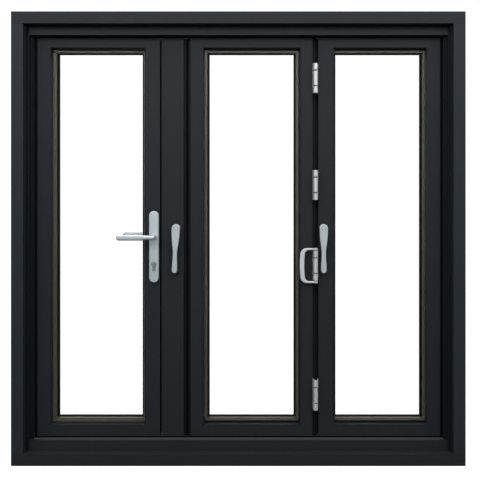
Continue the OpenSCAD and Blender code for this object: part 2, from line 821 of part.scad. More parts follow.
frame_head();
frame_sill();
jamb_left();
jamb_right();
head_track();
sill_track();
frame_seals();
entrance_hinge_stile();
entrance_lock_stile();
entrance_top_rail();
entrance_bottom_rail();
entrance_glass();
entrance_spacer();
entrance_beads();
entrance_gaskets();
middle_left_stile();
middle_right_stile();
middle_top_rail();
middle_bottom_rail();
middle_glass();
middle_spacer();
middle_beads();
middle_gaskets();
end_left_stile();
end_right_stile();
end_top_rail();
end_bottom_rail();
end_glass();
end_spacer();
end_beads();
end_gaskets();
meeting_stile();
fold_seals();
jamb_hinge_halves();
entrance_hinge_halves();
end_hinges();
middle_hinge_halves();
end_hinge_halves();
pull_handle();
roller_carriages();
handle_plates();
lock_cylinder();
levers();
bolt_roses();
bolt_handle_1();
bolt_handle_2();
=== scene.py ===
"""The look of a three-leaf folding patio door set, built around its fixed frame.

Lengths are in metres. X runs to the right, Y from the room outwards and Z up. Places come from the
frame's own nodes, and each class below holds the sizes that only the look needs.
"""
import logging
import math
from collections.abc import Callable, Sequence
from dataclasses import dataclass
from enum import Enum

import bpy
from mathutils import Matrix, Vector


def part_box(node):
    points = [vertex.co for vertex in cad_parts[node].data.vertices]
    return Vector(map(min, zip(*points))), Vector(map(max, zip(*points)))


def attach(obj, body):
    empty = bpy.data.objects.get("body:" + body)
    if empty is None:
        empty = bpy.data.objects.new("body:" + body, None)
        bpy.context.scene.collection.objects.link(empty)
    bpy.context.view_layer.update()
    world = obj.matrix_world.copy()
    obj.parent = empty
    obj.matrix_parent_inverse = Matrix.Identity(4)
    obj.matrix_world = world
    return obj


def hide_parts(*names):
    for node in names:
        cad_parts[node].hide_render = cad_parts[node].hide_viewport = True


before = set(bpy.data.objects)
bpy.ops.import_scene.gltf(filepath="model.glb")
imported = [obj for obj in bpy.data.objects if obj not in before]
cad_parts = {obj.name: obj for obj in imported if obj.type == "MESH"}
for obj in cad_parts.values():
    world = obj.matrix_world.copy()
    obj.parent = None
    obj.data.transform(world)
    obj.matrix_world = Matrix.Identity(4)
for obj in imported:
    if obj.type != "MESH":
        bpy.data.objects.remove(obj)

log = logging.getLogger("patio_door")

MM = 0.001
Point = tuple[float, float]
Place = tuple[float, float, float]
Colour = tuple[float, float, float]
Number = "float | Value"


class Axis(Enum):
    """The direction that a section is drawn along."""

    X = 0
    Y = 1
    Z = 2

    def place(self, along: float, point: Point) -> Vector:
        """Puts a point of a section, given in the two other axes' order, at a place along the axis."""
        values = list(point)
        values.insert(self.value, along)
        return Vector(values)


class Side(Enum):
    """One side of a rectangular frame, as the room sees it."""

    LEFT = "left"
    RIGHT = "right"
    BOTTOM = "bottom"
    TOP = "top"

    @property
    def upright(self) -> bool:
        """Whether the member on this side stands up."""
        return self in (Side.LEFT, Side.RIGHT)

    @property
    def inwards(self) -> int:
        """The sign of the way from this side into the frame."""
        return 1 if self in (Side.LEFT, Side.BOTTOM) else -1


@dataclass(frozen=True)
class Rect:
    """A rectangle in the plane of the leaves."""

    left: float
    right: float
    bottom: float
    top: float

    def edge(self, side: Side) -> float:
        """The place of one side, along X or Z."""
        return getattr(self, side.value)

    def inset(self, by: float) -> "Rect":
        """The rectangle with each side moved inwards, or outwards if it is negative."""
        return Rect(self.left + by, self.right - by, self.bottom + by, self.top - by)

    def corners(self, side: Side) -> tuple[Point, Point]:
        """The two ends of one side, the lower or left one first."""
        if side.upright:
            return (self.edge(side), self.bottom), (self.edge(side), self.top)
        return (self.left, self.edge(side)), (self.right, self.edge(side))

    @staticmethod
    def of_node(node: str) -> "Rect":
        """The outline of a node of the frame, seen from the room."""
        low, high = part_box(node)
        return Rect(low.x, high.x, low.z, high.z)


@dataclass(frozen=True)
class Value:
    """A number that runs through a material, with Python's operators as its Math nodes."""

    graph: "Graph"
    socket: bpy.types.NodeSocket

    def _math(self, operation: str, first: Number, second: Number) -> "Value":
        """Adds one Math node and returns its result."""
        node = self.graph.node("ShaderNodeMath", {"operation": operation}, {0: first, 1: second})
        return Value(self.graph, node.outputs[0])

    def __add__(self, other: Number) -> "Value":
        """The sum."""
        return self._math("ADD", self, other)

    def __radd__(self, other: Number) -> "Value":
        """The sum, with the number first."""
        return self._math("ADD", other, self)

    def __sub__(self, other: Number) -> "Value":
        """The difference."""
        return self._math("SUBTRACT", self, other)

    def __rsub__(self, other: Number) -> "Value":
        """The difference, with the number first."""
        return self._math("SUBTRACT", other, self)

    def __mul__(self, other: Number) -> "Value":
        """The product."""
        return self._math("MULTIPLY", self, other)

    def __rmul__(self, other: Number) -> "Value":
        """The product, with the number first."""
        return self._math("MULTIPLY", other, self)

    def at_most(self, other: Number) -> "Value":
        """The smaller of two values."""
        return self._math("MINIMUM", self, other)

    def at_least(self, other: Number) -> "Value":
        """The larger of two values."""
        return self._math("MAXIMUM", self, other)

    def over(self, limit: float) -> "Value":
        """1 where the value is over a limit, and 0 elsewhere."""
        return self._math("GREATER_THAN", self, limit)


class Graph:
    """The node tree of a material or a world, built by one method."""

    def __init__(self, owner: bpy.types.Material | bpy.types.World) -> None:
        """Empties the owner's tree.

        Args:
            owner: The material or world that the nodes belong to.
        """
        owner.use_nodes = True
        self.tree = owner.node_tree
        self.tree.nodes.clear()

    def node(
        self, kind: str, settings: dict[str, object] | None = None,
        inputs: dict[str | int, object] | None = None,
    ) -> bpy.types.Node:
        """Adds a node.

        Args:
            kind: The node's type.
            settings: Its own settings, such as an operation, which are set first.
            inputs: What its sockets hold or are linked to, by name or number.

        Returns:
            The node.
        """
        node = self.tree.nodes.new(kind)
        for key, setting in (settings or {}).items():
            setattr(node, key, setting)
        for key, given in (inputs or {}).items():
            source = given.socket if isinstance(given, Value) else given
            if isinstance(source, bpy.types.NodeSocket):
                self.tree.links.new(source, node.inputs[key])
            else:
                node.inputs[key].default_value = source
        return node

    def value(self, kind: str, output: str | int, inputs: dict[str | int, object] | None = None) -> Value:
        """Adds a node and returns one of its outputs as a value."""
        return Value(self, self.node(kind, None, inputs).outputs[output])

    def noise(self, stretch: Place, scale: float, detail: float = 2.0) -> Value:
        """Adds a noise over the object's own coordinates.

        Args:
            stretch: How dense the noise is along X, Y and Z.
            scale: Waves in a metre.
            detail: Finer octaves on top.

        Returns:
            The noise, around 0.5.
        """
        place = self.node("ShaderNodeTexCoord").outputs["Object"]
        scaled = self.node("ShaderNodeMapping", None, {"Vector": place, "Scale": stretch})
        inputs = {"Vector": scaled.outputs["Vector"], "Scale": scale, "Detail": detail}
        return self.value("ShaderNodeTexNoise", "Fac", inputs)

    def blend(self, factor: Number, first: Colour, second: Colour) -> bpy.types.NodeSocket:
        """Mixes two colours.

        Args:
            factor: The share of the second colour.
            first: The colour at 0.
            second: The colour at 1.

        Returns:
            The colour socket.
        """
        inputs = {0: factor, 6: (*first, 1.0), 7: (*second, 1.0)}
        return self.node("ShaderNodeMix", {"data_type": "RGBA"}, inputs).outputs[2]

    def surface(self, shader: bpy.types.Node) -> None:
        """Ends a material's tree with its shader."""
        self.node("ShaderNodeOutputMaterial", None, {"Surface": shader.outputs[0]})


class Grain(Enum):
    """How dense a finish's faint lines are along X, Y and Z, which is finest across the drawing."""

    UPRIGHT = (1.0, 1.0, 0.012)
    LEVEL = (0.012, 1.0, 1.0)
    EVEN = (1.0, 1.0, 1.0)


@dataclass(frozen=True)
class Finish:
    """A finish that varies a little between two tones.

    Attributes:
        name: The material's name.
        dark: The darker tone.
        light: The lighter tone.
        roughness: Its least roughness.
        rough_spread: How much rougher it gets.
        grain: The way of its faint lines.
        line_scale: Lines in a metre.
        speck_scale: Specks in a metre.
        relief: Height of its bumps.
        metallic: How metallic it is.
        specular: The strength of its gloss.
        lines_share: The share of the lines in its tone, against slow clouds.
    """

    name: str
    dark: Colour
    light: Colour
    roughness: float
    rough_spread: float
    grain: Grain = Grain.EVEN
    line_scale: float = 700.0
    speck_scale: float = 1600.0
    relief: float = 0.02 * MM
    metallic: float = 0.0
    specular: float = 0.5
    lines_share: float = 0.5
    cloud_scale: float = 4.0

    def material(self) -> bpy.types.Material:
        """Makes the material, or returns the one made before."""
        name = f"{self.name}_{self.grain.name.lower()}"
        made = bpy.data.materials.get(name)
        if made:
            return made
        made = bpy.data.materials.new(name)
        graph = Graph(made)
        lines = graph.noise(self.grain.value, self.line_scale)
        specks = graph.noise(Grain.EVEN.value, self.speck_scale)
        clouds = graph.noise(Grain.EVEN.value, self.cloud_scale)
        tone = lines * self.lines_share + clouds * (1 - self.lines_share)
        height = lines * self.lines_share + specks * (1 - self.lines_share)
        bump = graph.node("ShaderNodeBump", None, {"Distance": self.relief, "Height": height})
        graph.surface(graph.node("ShaderNodeBsdfPrincipled", None, {
            "Base Color": graph.blend(tone, self.dark, self.light),
            "Roughness": specks * self.rough_spread + self.roughness,
            "Metallic": self.metallic,
            "Specular IOR Level": self.specular,
            "Normal": bump.outputs["Normal"],
        }))
        return made


@dataclass(frozen=True)
class ClearGlass:
    """Clear float glass, which shows more of what it reflects at a low angle."""

    name: str = "float_glass"
    tint: Colour = (0.12, 0.16, 0.15)
    least: float = 0.012
    most: float = 0.5
    wave_scale: float = 3.0
    wave_height: float = 0.01 * MM

    def material(self) -> bpy.types.Material:
        """Makes the material, or returns the one made before."""
        made = bpy.data.materials.get(self.name)
        if made:
            return made
        made = bpy.data.materials.new(self.name)
        graph = Graph(made)
        facing = graph.value("ShaderNodeLayerWeight", "Fresnel", {"Blend": 0.12})
        waves = graph.noise(Grain.EVEN.value, self.wave_scale)
        bump = graph.node("ShaderNodeBump", None, {"Distance": self.wave_height, "Height": waves})
        graph.surface(graph.node("ShaderNodeBsdfPrincipled", None, {
            "Base Color": (*self.tint, 1.0),
            "Roughness": 0.02,
            "Alpha": (facing * (self.most - self.least) + self.least).at_most(1.0),
            "Normal": bump.outputs["Normal"],
        }))
        return made


POWDER = Finish(
    "anthracite_powder_coat", dark=(0.0135, 0.0152, 0.0178), light=(0.0185, 0.0205, 0.0235),
    roughness=0.4, rough_spread=0.12, specular=0.06, relief=0.012 * MM,
)
POWDER_UPRIGHT = Finish(**{**POWDER.__dict__, "grain": Grain.UPRIGHT})
POWDER_LEVEL = Finish(**{**POWDER.__dict__, "grain": Grain.LEVEL})
# Painted light: the frame's anthracite coat made lighter for the jamb flanges, so that they read as brightly lit as
# the head.
FLANGE_LIT = Finish(
    "anthracite_flange_coat", dark=(0.0155, 0.0178, 0.0212), light=(0.021, 0.0237, 0.0275),
    roughness=0.4, rough_spread=0.12, specular=0.06, relief=0.012 * MM, grain=Grain.UPRIGHT,
)
# Painted shade: the frame's anthracite coat made much darker for the jamb's deep stepped rebates, standing in for
# the shade that falls inside the recess.
REBATE_SHADE = Finish(
    "matt_rebate_coat", dark=(0.0062, 0.0073, 0.0085), light=(0.0092, 0.0105, 0.012),
    roughness=0.5, rough_spread=0.12, specular=0.05, relief=0.012 * MM, grain=Grain.UPRIGHT,
)
RUBBER = Finish(
    "black_rubber", dark=(0.0008, 0.0008, 0.0008), light=(0.002, 0.002, 0.002),
    roughness=0.65, rough_spread=0.2, specular=0.05,
)
FOLD_RUBBER = Finish(
    "grey_rubber", dark=(0.009, 0.009, 0.011), light=(0.013, 0.0135, 0.016),
    roughness=0.6, rough_spread=0.2, specular=0.12, grain=Grain.UPRIGHT,
)
# Painted highlight: a light grey standing in for the light that falls on the top of the sill's track.
SILL_HIGHLIGHT = Finish(
    "worn_threshold", dark=(0.05, 0.053, 0.055), light=(0.075, 0.078, 0.08),
    roughness=0.45, rough_spread=0.15, specular=0.3, grain=Grain.LEVEL,
)
# Painted shade: near-black strips laid on the meeting stile's groove floor, standing in for the shade inside the
# groove.
GROOVE_SHADE = Finish(
    "dark_cover_strip", dark=(0.003, 0.004, 0.0052), light=(0.0053, 0.0066, 0.0078),
    roughness=0.5, rough_spread=0.15, specular=0.08, grain=Grain.UPRIGHT,
)
SPACER = Finish(
    "bronze_spacer_bar", dark=(0.056, 0.049, 0.031), light=(0.083, 0.074, 0.051),
    roughness=0.35, rough_spread=0.15, specular=0.4,
)
SATIN = Finish(
    "satin_silver", dark=(0.4, 0.42, 0.435), light=(0.485, 0.505, 0.52),
    roughness=0.36, rough_spread=0.06, metallic=0.72, relief=0.006 * MM, grain=Grain.UPRIGHT,
)
HINGE_SILVER = Finish(
    "hinge_silver", dark=(0.405, 0.42, 0.43), light=(0.485, 0.5, 0.51),
    roughness=0.46, rough_spread=0.08, metallic=0.35, relief=0.006 * MM, grain=Grain.UPRIGHT,
)
NICKEL = Finish(
    "nickel_plate", dark=(0.17, 0.18, 0.18), light=(0.3, 0.31, 0.3),
    roughness=0.3, rough_spread=0.1, metallic=0.8, relief=0.004 * MM,
)
NYLON = Finish(
    "white_nylon", dark=(0.5, 0.49, 0.46), light=(0.62, 0.61, 0.58), roughness=0.45, rough_spread=0.15,
)
GLASS = ClearGlass()


class Bench:
    """The steps that shape one piece, each done with Blender's own modelling tools."""

    @staticmethod
    def fresh() -> None:
        """Leaves edit mode and deselects everything."""
        if bpy.context.object and bpy.context.object.mode != "OBJECT":
            bpy.ops.object.mode_set(mode="OBJECT")
        bpy.ops.object.select_all(action="DESELECT")

    @staticmethod
    def choose(obj: bpy.types.Object) -> None:
        """Makes one object the only selected and the active one."""
        Bench.fresh()
        obj.select_set(True)
        bpy.context.view_layer.objects.active = obj

    @staticmethod
    def settle(name: str) -> bpy.types.Object:
        """Names the active object and moves its place into its mesh."""
        obj = bpy.context.active_object
        obj.name = obj.data.name = name
        bpy.ops.object.transform_apply(location=True, rotation=True, scale=True)
        return obj

    @staticmethod
    def block(name: str, low: Sequence[float], high: Sequence[float]) -> bpy.types.Object:
        """Adds a block between two corners.

        Args:
            name: Its name.
            low: The lowest corner.
            high: The highest corner.

        Returns:
            The block.
        """
        low, high = Vector(low), Vector(high)
        Bench.fresh()
        bpy.ops.mesh.primitive_cube_add(size=1, location=(low + high) / 2, scale=high - low)
        return Bench.settle(name)

    @staticmethod
    def rod(name: str, axis: Axis, at: Point, span: Point, radius: float, sides: int = 40) -> bpy.types.Object:
        """Adds a round rod.

        Args:
            name: Its name.
            axis: Its direction.
            at: Its place in the two other axes.
            span: Its two ends along the axis.
            radius: Its radius.
            sides: Faces around it.

        Returns:
            The rod.
        """
        turn = {Axis.X: (0, math.pi / 2, 0), Axis.Y: (math.pi / 2, 0, 0), Axis.Z: (0, 0, 0)}[axis]
        Bench.fresh()
        bpy.ops.mesh.primitive_cylinder_add(
            vertices=sides, radius=radius, depth=abs(span[1] - span[0]),
            location=axis.place((span[0] + span[1]) / 2, at), rotation=turn)
        return Bench.settle(name)

    @staticmethod
    def profile(name: str, axis: Axis, section: Sequence[Point], span: Point) -> bpy.types.Object:
        """Draws a section along an axis.

        Args:
            name: The piece's name.
            axis: The direction of drawing.
            section: The corners, each in the two other axes.
            span: The two ends along the axis.

        Returns:
            The closed piece.
        """
        Bench.fresh()
        bpy.ops.mesh.primitive_circle_add(vertices=len(section), fill_type="NGON")
        obj = Bench.settle(name)
        for vertex, point in zip(obj.data.vertices, section):
            vertex.co = axis.place(span[0], point)
        bpy.ops.object.mode_set(mode="EDIT")
        bpy.ops.mesh.select_all(action="SELECT")
        move = axis.place(span[1] - span[0], (0.0, 0.0))
        bpy.ops.mesh.extrude_region_move(TRANSFORM_OT_translate={"value": move})
        bpy.ops.mesh.select_all(action="SELECT")
        bpy.ops.mesh.normals_make_consistent(inside=False)
        bpy.ops.object.mode_set(mode="OBJECT")
        return obj

    @staticmethod
    def bevel(obj: bpy.types.Object, width: float, segments: int = 2, angle: float = 30.0) -> bpy.types.Object:
        """Rounds every edge that is sharper than an angle.

        Args:
            obj: The piece.
            width: The width of the rounding.
            segments: Faces across it.
            angle: The least angle of such an edge, in degrees.

        Returns:
            The same piece.
        """
        Bench.choose(obj)
        rounding = obj.modifiers.new("rounding", "BEVEL")
        rounding.width = width
        rounding.segments = segments
        rounding.limit_method = "ANGLE"
        rounding.angle_limit = math.radians(angle)
        bpy.ops.object.modifier_apply(modifier=rounding.name)
        return obj

    @staticmethod
    def cut(obj: bpy.types.Object, at: Vector, away: Vector) -> None:
        """Cuts off what lies past a plane and closes the piece there.

        Args:
            obj: The piece.
            at: A point of the plane.
            away: The plane's normal, towards what goes.
        """
        Bench.choose(obj)
        bpy.ops.object.mode_set(mode="EDIT")
        bpy.ops.mesh.select_all(action="SELECT")
        bpy.ops.mesh.bisect(plane_co=at, plane_no=away, use_fill=True, clear_outer=True)
        bpy.ops.mesh.select_all(action="SELECT")
        bpy.ops.mesh.normals_make_consistent(inside=False)
        bpy.ops.object.mode_set(mode="OBJECT")

    @staticmethod
    def pick(obj: bpy.types.Object, wanted: Callable[[Vector, Vector], bool]) -> None:
        """Opens a piece in edit mode with only some faces selected.

        Args:
            obj: The piece.
            wanted: A test of a face's middle and normal.
        """
        Bench.choose(obj)
        bpy.ops.object.mode_set(mode="EDIT")
        bpy.ops.mesh.select_mode(type="FACE")
        bpy.ops.mesh.select_all(action="DESELECT")
        bpy.ops.object.mode_set(mode="OBJECT")
        for face in obj.data.polygons:
            face.select = wanted(face.center, face.normal)
        bpy.ops.object.mode_set(mode="EDIT")

    @staticmethod
    def dish(obj: bpy.types.Object, wanted: Callable[[Vector, Vector], bool], rim: float, move: Vector) -> None:
        """Sets faces in, inside a rim, or raises them.

        Args:
            obj: The piece.
            wanted: The test that picks the faces.
            rim: The width of the rim that stays.
            move: The way that the faces go.
        """
        Bench.pick(obj, wanted)
        bpy.ops.mesh.inset(thickness=rim)
        bpy.ops.transform.translate(value=move)
        bpy.ops.object.mode_set(mode="OBJECT")

    @staticmethod
    def bore(obj: bpy.types.Object, cutter: bpy.types.Object) -> None:
        """Takes one piece's space out of another and removes the cutter."""
        Bench.choose(obj)
        hole = obj.modifiers.new("hole", "BOOLEAN")
        hole.operation = "DIFFERENCE"
        hole.solver = "EXACT"
        hole.object = cutter
        bpy.ops.object.modifier_apply(modifier=hole.name)
        bpy.data.objects.remove(cutter)

    @staticmethod
    def join(name: str, parts: Sequence[bpy.types.Object]) -> bpy.types.Object:
        """Joins several closed shapes into one piece."""
        Bench.choose(parts[0])
        for part in parts:
            part.select_set(True)
        bpy.ops.object.join()
        return Bench.settle(name)

    @staticmethod
    def copy(obj: bpy.types.Object, by: Sequence[float]) -> bpy.types.Object:
        """Copies a shape, with its own mesh, to a place further along."""
        Bench.choose(obj)
        bpy.ops.object.duplicate(linked=False)
        bpy.context.active_object.location = by
        return Bench.settle(f"{obj.name}_copy")

    @staticmethod
    def mirror(obj: bpy.types.Object, axis: Axis, about: float) -> bpy.types.Object:
        """Copies a shape to the other side of a plane.

        Args:
            obj: The shape.
            axis: The axis that turns round.
            about: The plane's place on it.

        Returns:
            The copy, facing outwards.
        """
        other = Bench.copy(obj, (0.0, 0.0, 0.0))
        other.scale[axis.value] = -1
        other.location[axis.value] = 2 * about
        other = Bench.settle(other.name)
        bpy.ops.object.mode_set(mode="EDIT")
        bpy.ops.mesh.select_all(action="SELECT")
        bpy.ops.mesh.normals_make_consistent(inside=False)
        bpy.ops.object.mode_set(mode="OBJECT")
        return other

    @staticmethod
    def from_node(name: str, node: str, rounding: float) -> bpy.types.Object:
        """Makes a rounded version of a node whose shape is already right.

        Args:
            name: The piece's name.
            node: The node.
            rounding: The width of its rounded edges.

        Returns:
            The piece.
        """
        obj = bpy.data.objects.new(name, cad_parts[node].data.copy())
        bpy.context.scene.collection.objects.link(obj)
        Bench.choose(obj)
        bpy.ops.object.mode_set(mode="EDIT")
        bpy.ops.mesh.select_all(action="SELECT")
        bpy.ops.mesh.remove_doubles(threshold=0.001 * MM)
        bpy.ops.mesh.dissolve_limited(angle_limit=math.radians(1.0))
        bpy.ops.object.mode_set(mode="OBJECT")
        return Bench.bevel(obj, rounding)

    @staticmethod
    def mitred_bar(
        name: str, side: Side, outer: Rect, inner: Rect, section: Sequence[Point],
        rounding: float, seam: float = 0.0,
    ) -> bpy.types.Object:
        """Makes the member on one side of a frame, cut off at both corners.

        Args:
            name: Its name.
            side: The side that it is on.
            outer: The frame's outline.
            inner: The frame's opening, whose corners the cuts run to.
            section: Its section: distances from the outer edge and along Y.
            rounding: The width of its rounded edges.
            seam: How far each cut stays back from the corner's own line.

        Returns:
            The member.
        """
        edge = outer.edge(side)
        ends = outer.corners(side)
        if side.upright:
            points = [(edge + side.inwards * reach, y) for reach, y in section]
            bar = Bench.profile(name, Axis.Z, points, (ends[0][1], ends[1][1]))
        else:
            points = [(y, edge + side.inwards * reach) for reach, y in section]
            bar = Bench.profile(name, Axis.X, points, (ends[0][0], ends[1][0]))
        Bench.bevel(bar, rounding)
        middle = Axis.Y.place(0.0, tuple((a + b) / 2 for a, b in zip(*ends)))
        for start, finish in zip(ends, inner.corners(side)):
            corner = Axis.Y.place(0.0, start)
            away = (Axis.Y.place(0.0, finish) - corner).cross(Vector((0, 1, 0))).normalized()
            if away.dot(middle - corner) > 0:
                away.negate()
            Bench.cut(bar, corner - away * seam, away)
        return bar

    @staticmethod
    def screw(name: str, at: Vector, radius: float, height: float) -> bpy.types.Object:
        """Makes a screw head with a socket, facing the room or, with a negative height, outwards.

        Args:
            name: Its name.
            at: The middle of its underside.
            radius: Its radius.
            height: How far it stands towards the room.

        Returns:
            The screw head.
        """
        front = at.y - height
        head = Bench.rod(name, Axis.Y, (at.x, at.z), (at.y, front), radius, 20)
        Bench.bevel(head, abs(height) * 0.6)
        Bench.dish(
            head, lambda middle, normal: abs(middle.y - front) < 0.01 * MM and abs(normal.y) > 0.9,
            radius * 0.35, Vector((0, height * 0.7, 0)))
        return head


def arc(centre: Point, radius: float, start: float, stop: float, steps: int) -> list[Point]:
    """Gives points on an arc.

    Args:
        centre: Its centre.
        radius: Its radius.
        start: The first point's angle, in degrees.
        stop: The last point's angle.
        steps: The number of stretches between points.

    Returns:
        The points, from start to stop.
    """
    turns = [math.radians(start + (stop - start) * i / steps) for i in range(steps + 1)]
    return [(centre[0] + radius * math.cos(a), centre[1] + radius * math.sin(a)) for a in turns]


def paddle(half_width: Callable[[float], float], length: float, steps: int = 28) -> list[Point]:
    """Gives the outline of a long piece with a round head at the origin and a round tip below it.

    Args:
        half_width: Half its width at a share of the way down.
        length: The distance between the centres of its two ends.
        steps: Stretches along each side.

    Returns:
        The outline.
    """
    shares = [i / steps for i in range(1, steps)]
    head = arc((0.0, 0.0), half_width(0.0), 0, 180, 24)
    tip = arc((0.0, -length), half_width(1.0), 180, 360, 20)
    left = [(-half_width(t), -length * t) for t in shares]
    right = [(half_width(t), -length * t) for t in reversed(shares)]
    return head + left + tip + right


@dataclass
class Assembly:
    """Pieces that ride on one body.

    Attributes:
        body: The body's name.
    """

    body: str = "frame"

    def place(
        self, obj: bpy.types.Object, finish: Finish | ClearGlass, slot: str, *nodes: str, body: str = "",
    ) -> bpy.types.Object:
        """Dresses a finished piece and puts it on its body.

        Args:
            obj: The piece.
            finish: Its finish.
            slot: The record's material slot; not used.
            nodes: The nodes that it stands for.
            body: Another body than the assembly's own.

        Returns:
            The same piece.
        """
        Bench.choose(obj)
        bpy.ops.object.shade_smooth_by_angle(angle=math.radians(35))
        flat = obj.modifiers.new("flat_faces", "WEIGHTED_NORMAL")
        flat.keep_sharp = True
        bpy.ops.object.modifier_apply(modifier=flat.name)
        obj.data.materials.clear()
        obj.data.materials.append(finish.material())
        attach(obj, body or self.body)
        if nodes:
            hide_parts(*nodes)
        log.info("%s: %d faces", obj.name, len(obj.data.polygons))
        return obj

    @staticmethod
    def dress_node(node: str, finish: Finish | ClearGlass) -> None:
        """Gives a node that keeps its own shape a finish."""
        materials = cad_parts[node].data.materials
        materials.clear()
        materials.append(finish.material())
        log.info("%s: kept, %s", node, finish.name)


@dataclass
class OuterFrame(Assembly):
    """Head, sill, stepped jambs, tracks and the seals that the leaves close on."""

    rounding: float = 1.2 * MM
    track_rounding: float = 0.6 * MM
    seam: float = 0.12 * MM
    steps: Sequence[Point] = ((25 * MM, 5 * MM), (16 * MM, 6 * MM), (17 * MM, 6 * MM), (9 * MM, 4 * MM))
    lip_depth: float = 18 * MM
    rebate_reach: float = 10 * MM
    seal_bulb: float = 2.4 * MM
    # The strip's thickness and place on the sill's track; the strip is a painted highlight.
    strip: float = 0.4 * MM
    strip_edge: float = 1 * MM
    strip_reach: float = 20 * MM

    def build(self) -> None:
        """Builds every piece of the outer frame."""
        self.outline = Rect(
            Rect.of_node("frame_head").left, Rect.of_node("frame_head").right,
            Rect.of_node("frame_sill").bottom, Rect.of_node("frame_head").top)
        self.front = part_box("jamb_left")[0].y
        self.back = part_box("jamb_left")[1].y
        self.face = self.outline.top - Rect.of_node("frame_head").bottom
        for node in ("frame_head", "frame_sill"):
            rail = Bench.block(f"{node}_profile", *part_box(node))
            self.place(Bench.bevel(rail, self.rounding), POWDER_LEVEL, "grey_paint", node)
        for side, node in ((Side.LEFT, "jamb_left"), (Side.RIGHT, "jamb_right")):
            self.jamb(side, node)
        for node in ("head_track", "sill_track"):
            track = Bench.from_node(f"{node}_profile", node, self.track_rounding)
            self.place(track, POWDER_LEVEL, "grey_paint", node)
        self.threshold()
        self.seals()

    def threshold(self) -> None:
        """Builds a thin light strip on the sill's track in front of the leaves: a painted highlight for the light
        that falls on the track's top.
        """
        low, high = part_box("sill_track")
        strip = Bench.block(
            "threshold_strip", (low.x + 22 * MM, -self.strip_reach, high.z),
            (high.x - 22 * MM, -self.strip_edge, high.z + self.strip))
        self.place(Bench.bevel(strip, 0.15 * MM, 1), SILL_HIGHLIGHT, "grey_paint")

    def jamb(self, side: Side, node: str) -> None:
        """Builds a jamb, which stands between head and sill: its face and its stepped rebates."""
        inner = self.outline.inset(self.face)
        edge = inner.edge(side)
        reach, y = 0.0, self.front
        section = [(0.0, y + self.steps[0][0])]
        for depth, step in self.steps:
            y += depth
            section += [(reach, y), (reach + step, y)]
            reach += step
        section = section[1:] + [(reach, y + self.lip_depth), (self.rebate_reach, y + self.lip_depth),
                                 (self.rebate_reach, self.back), (0.0, self.back)]
        points = [(edge + side.inwards * u, v) for u, v in section]
        steps = Bench.profile(f"{node}_rebates", Axis.Z, points, (inner.bottom, inner.top))
        # The rebates take the darker coat, which is painted shade for the recess.
        self.place(Bench.bevel(steps, self.track_rounding), REBATE_SHADE, "grey_paint", node)
        near, far = sorted((self.outline.edge(side), edge))
        flange = Bench.block(
            f"{node}_profile", (near, self.front, self.outline.bottom), (far, self.back, self.outline.top))
        Bench.bevel(flange, self.rounding)
        for z, way in ((inner.bottom + self.seam, -1), (inner.top - self.seam, 1)):
            Bench.cut(flange, Vector((0, 0, z)), Vector((0, 0, way)))
        # The jamb flanges take the lighter coat, which is painted light.
        self.place(flange, FLANGE_LIT, "grey_paint", node)

    def seals(self) -> None:
        """Builds the four seals as soft strips with a rounded nose."""
        low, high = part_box("frame_seals")
        track_top, track_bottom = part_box("sill_track")[1].z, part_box("head_track")[0].z
        gap = 4 * MM
        reach = 7 * MM
        strips = [
            Bench.block("left", (low.x, low.y, track_top), (low.x + reach, high.y, track_bottom)),
            Bench.block("right", (high.x - reach, low.y, track_top), (high.x, high.y, track_bottom)),
            Bench.block("top", (low.x + reach, low.y, track_bottom - gap), (high.x - reach, high.y, track_bottom)),
            Bench.block("bottom", (low.x + reach, low.y, track_top), (high.x - reach, high.y, track_top + gap)),
        ]
        for strip in strips:
            Bench.bevel(strip, self.seal_bulb * 0.7, 3)
        self.place(Bench.join("frame_seal_strips", strips), RUBBER, "black_rubber", "frame_seals")


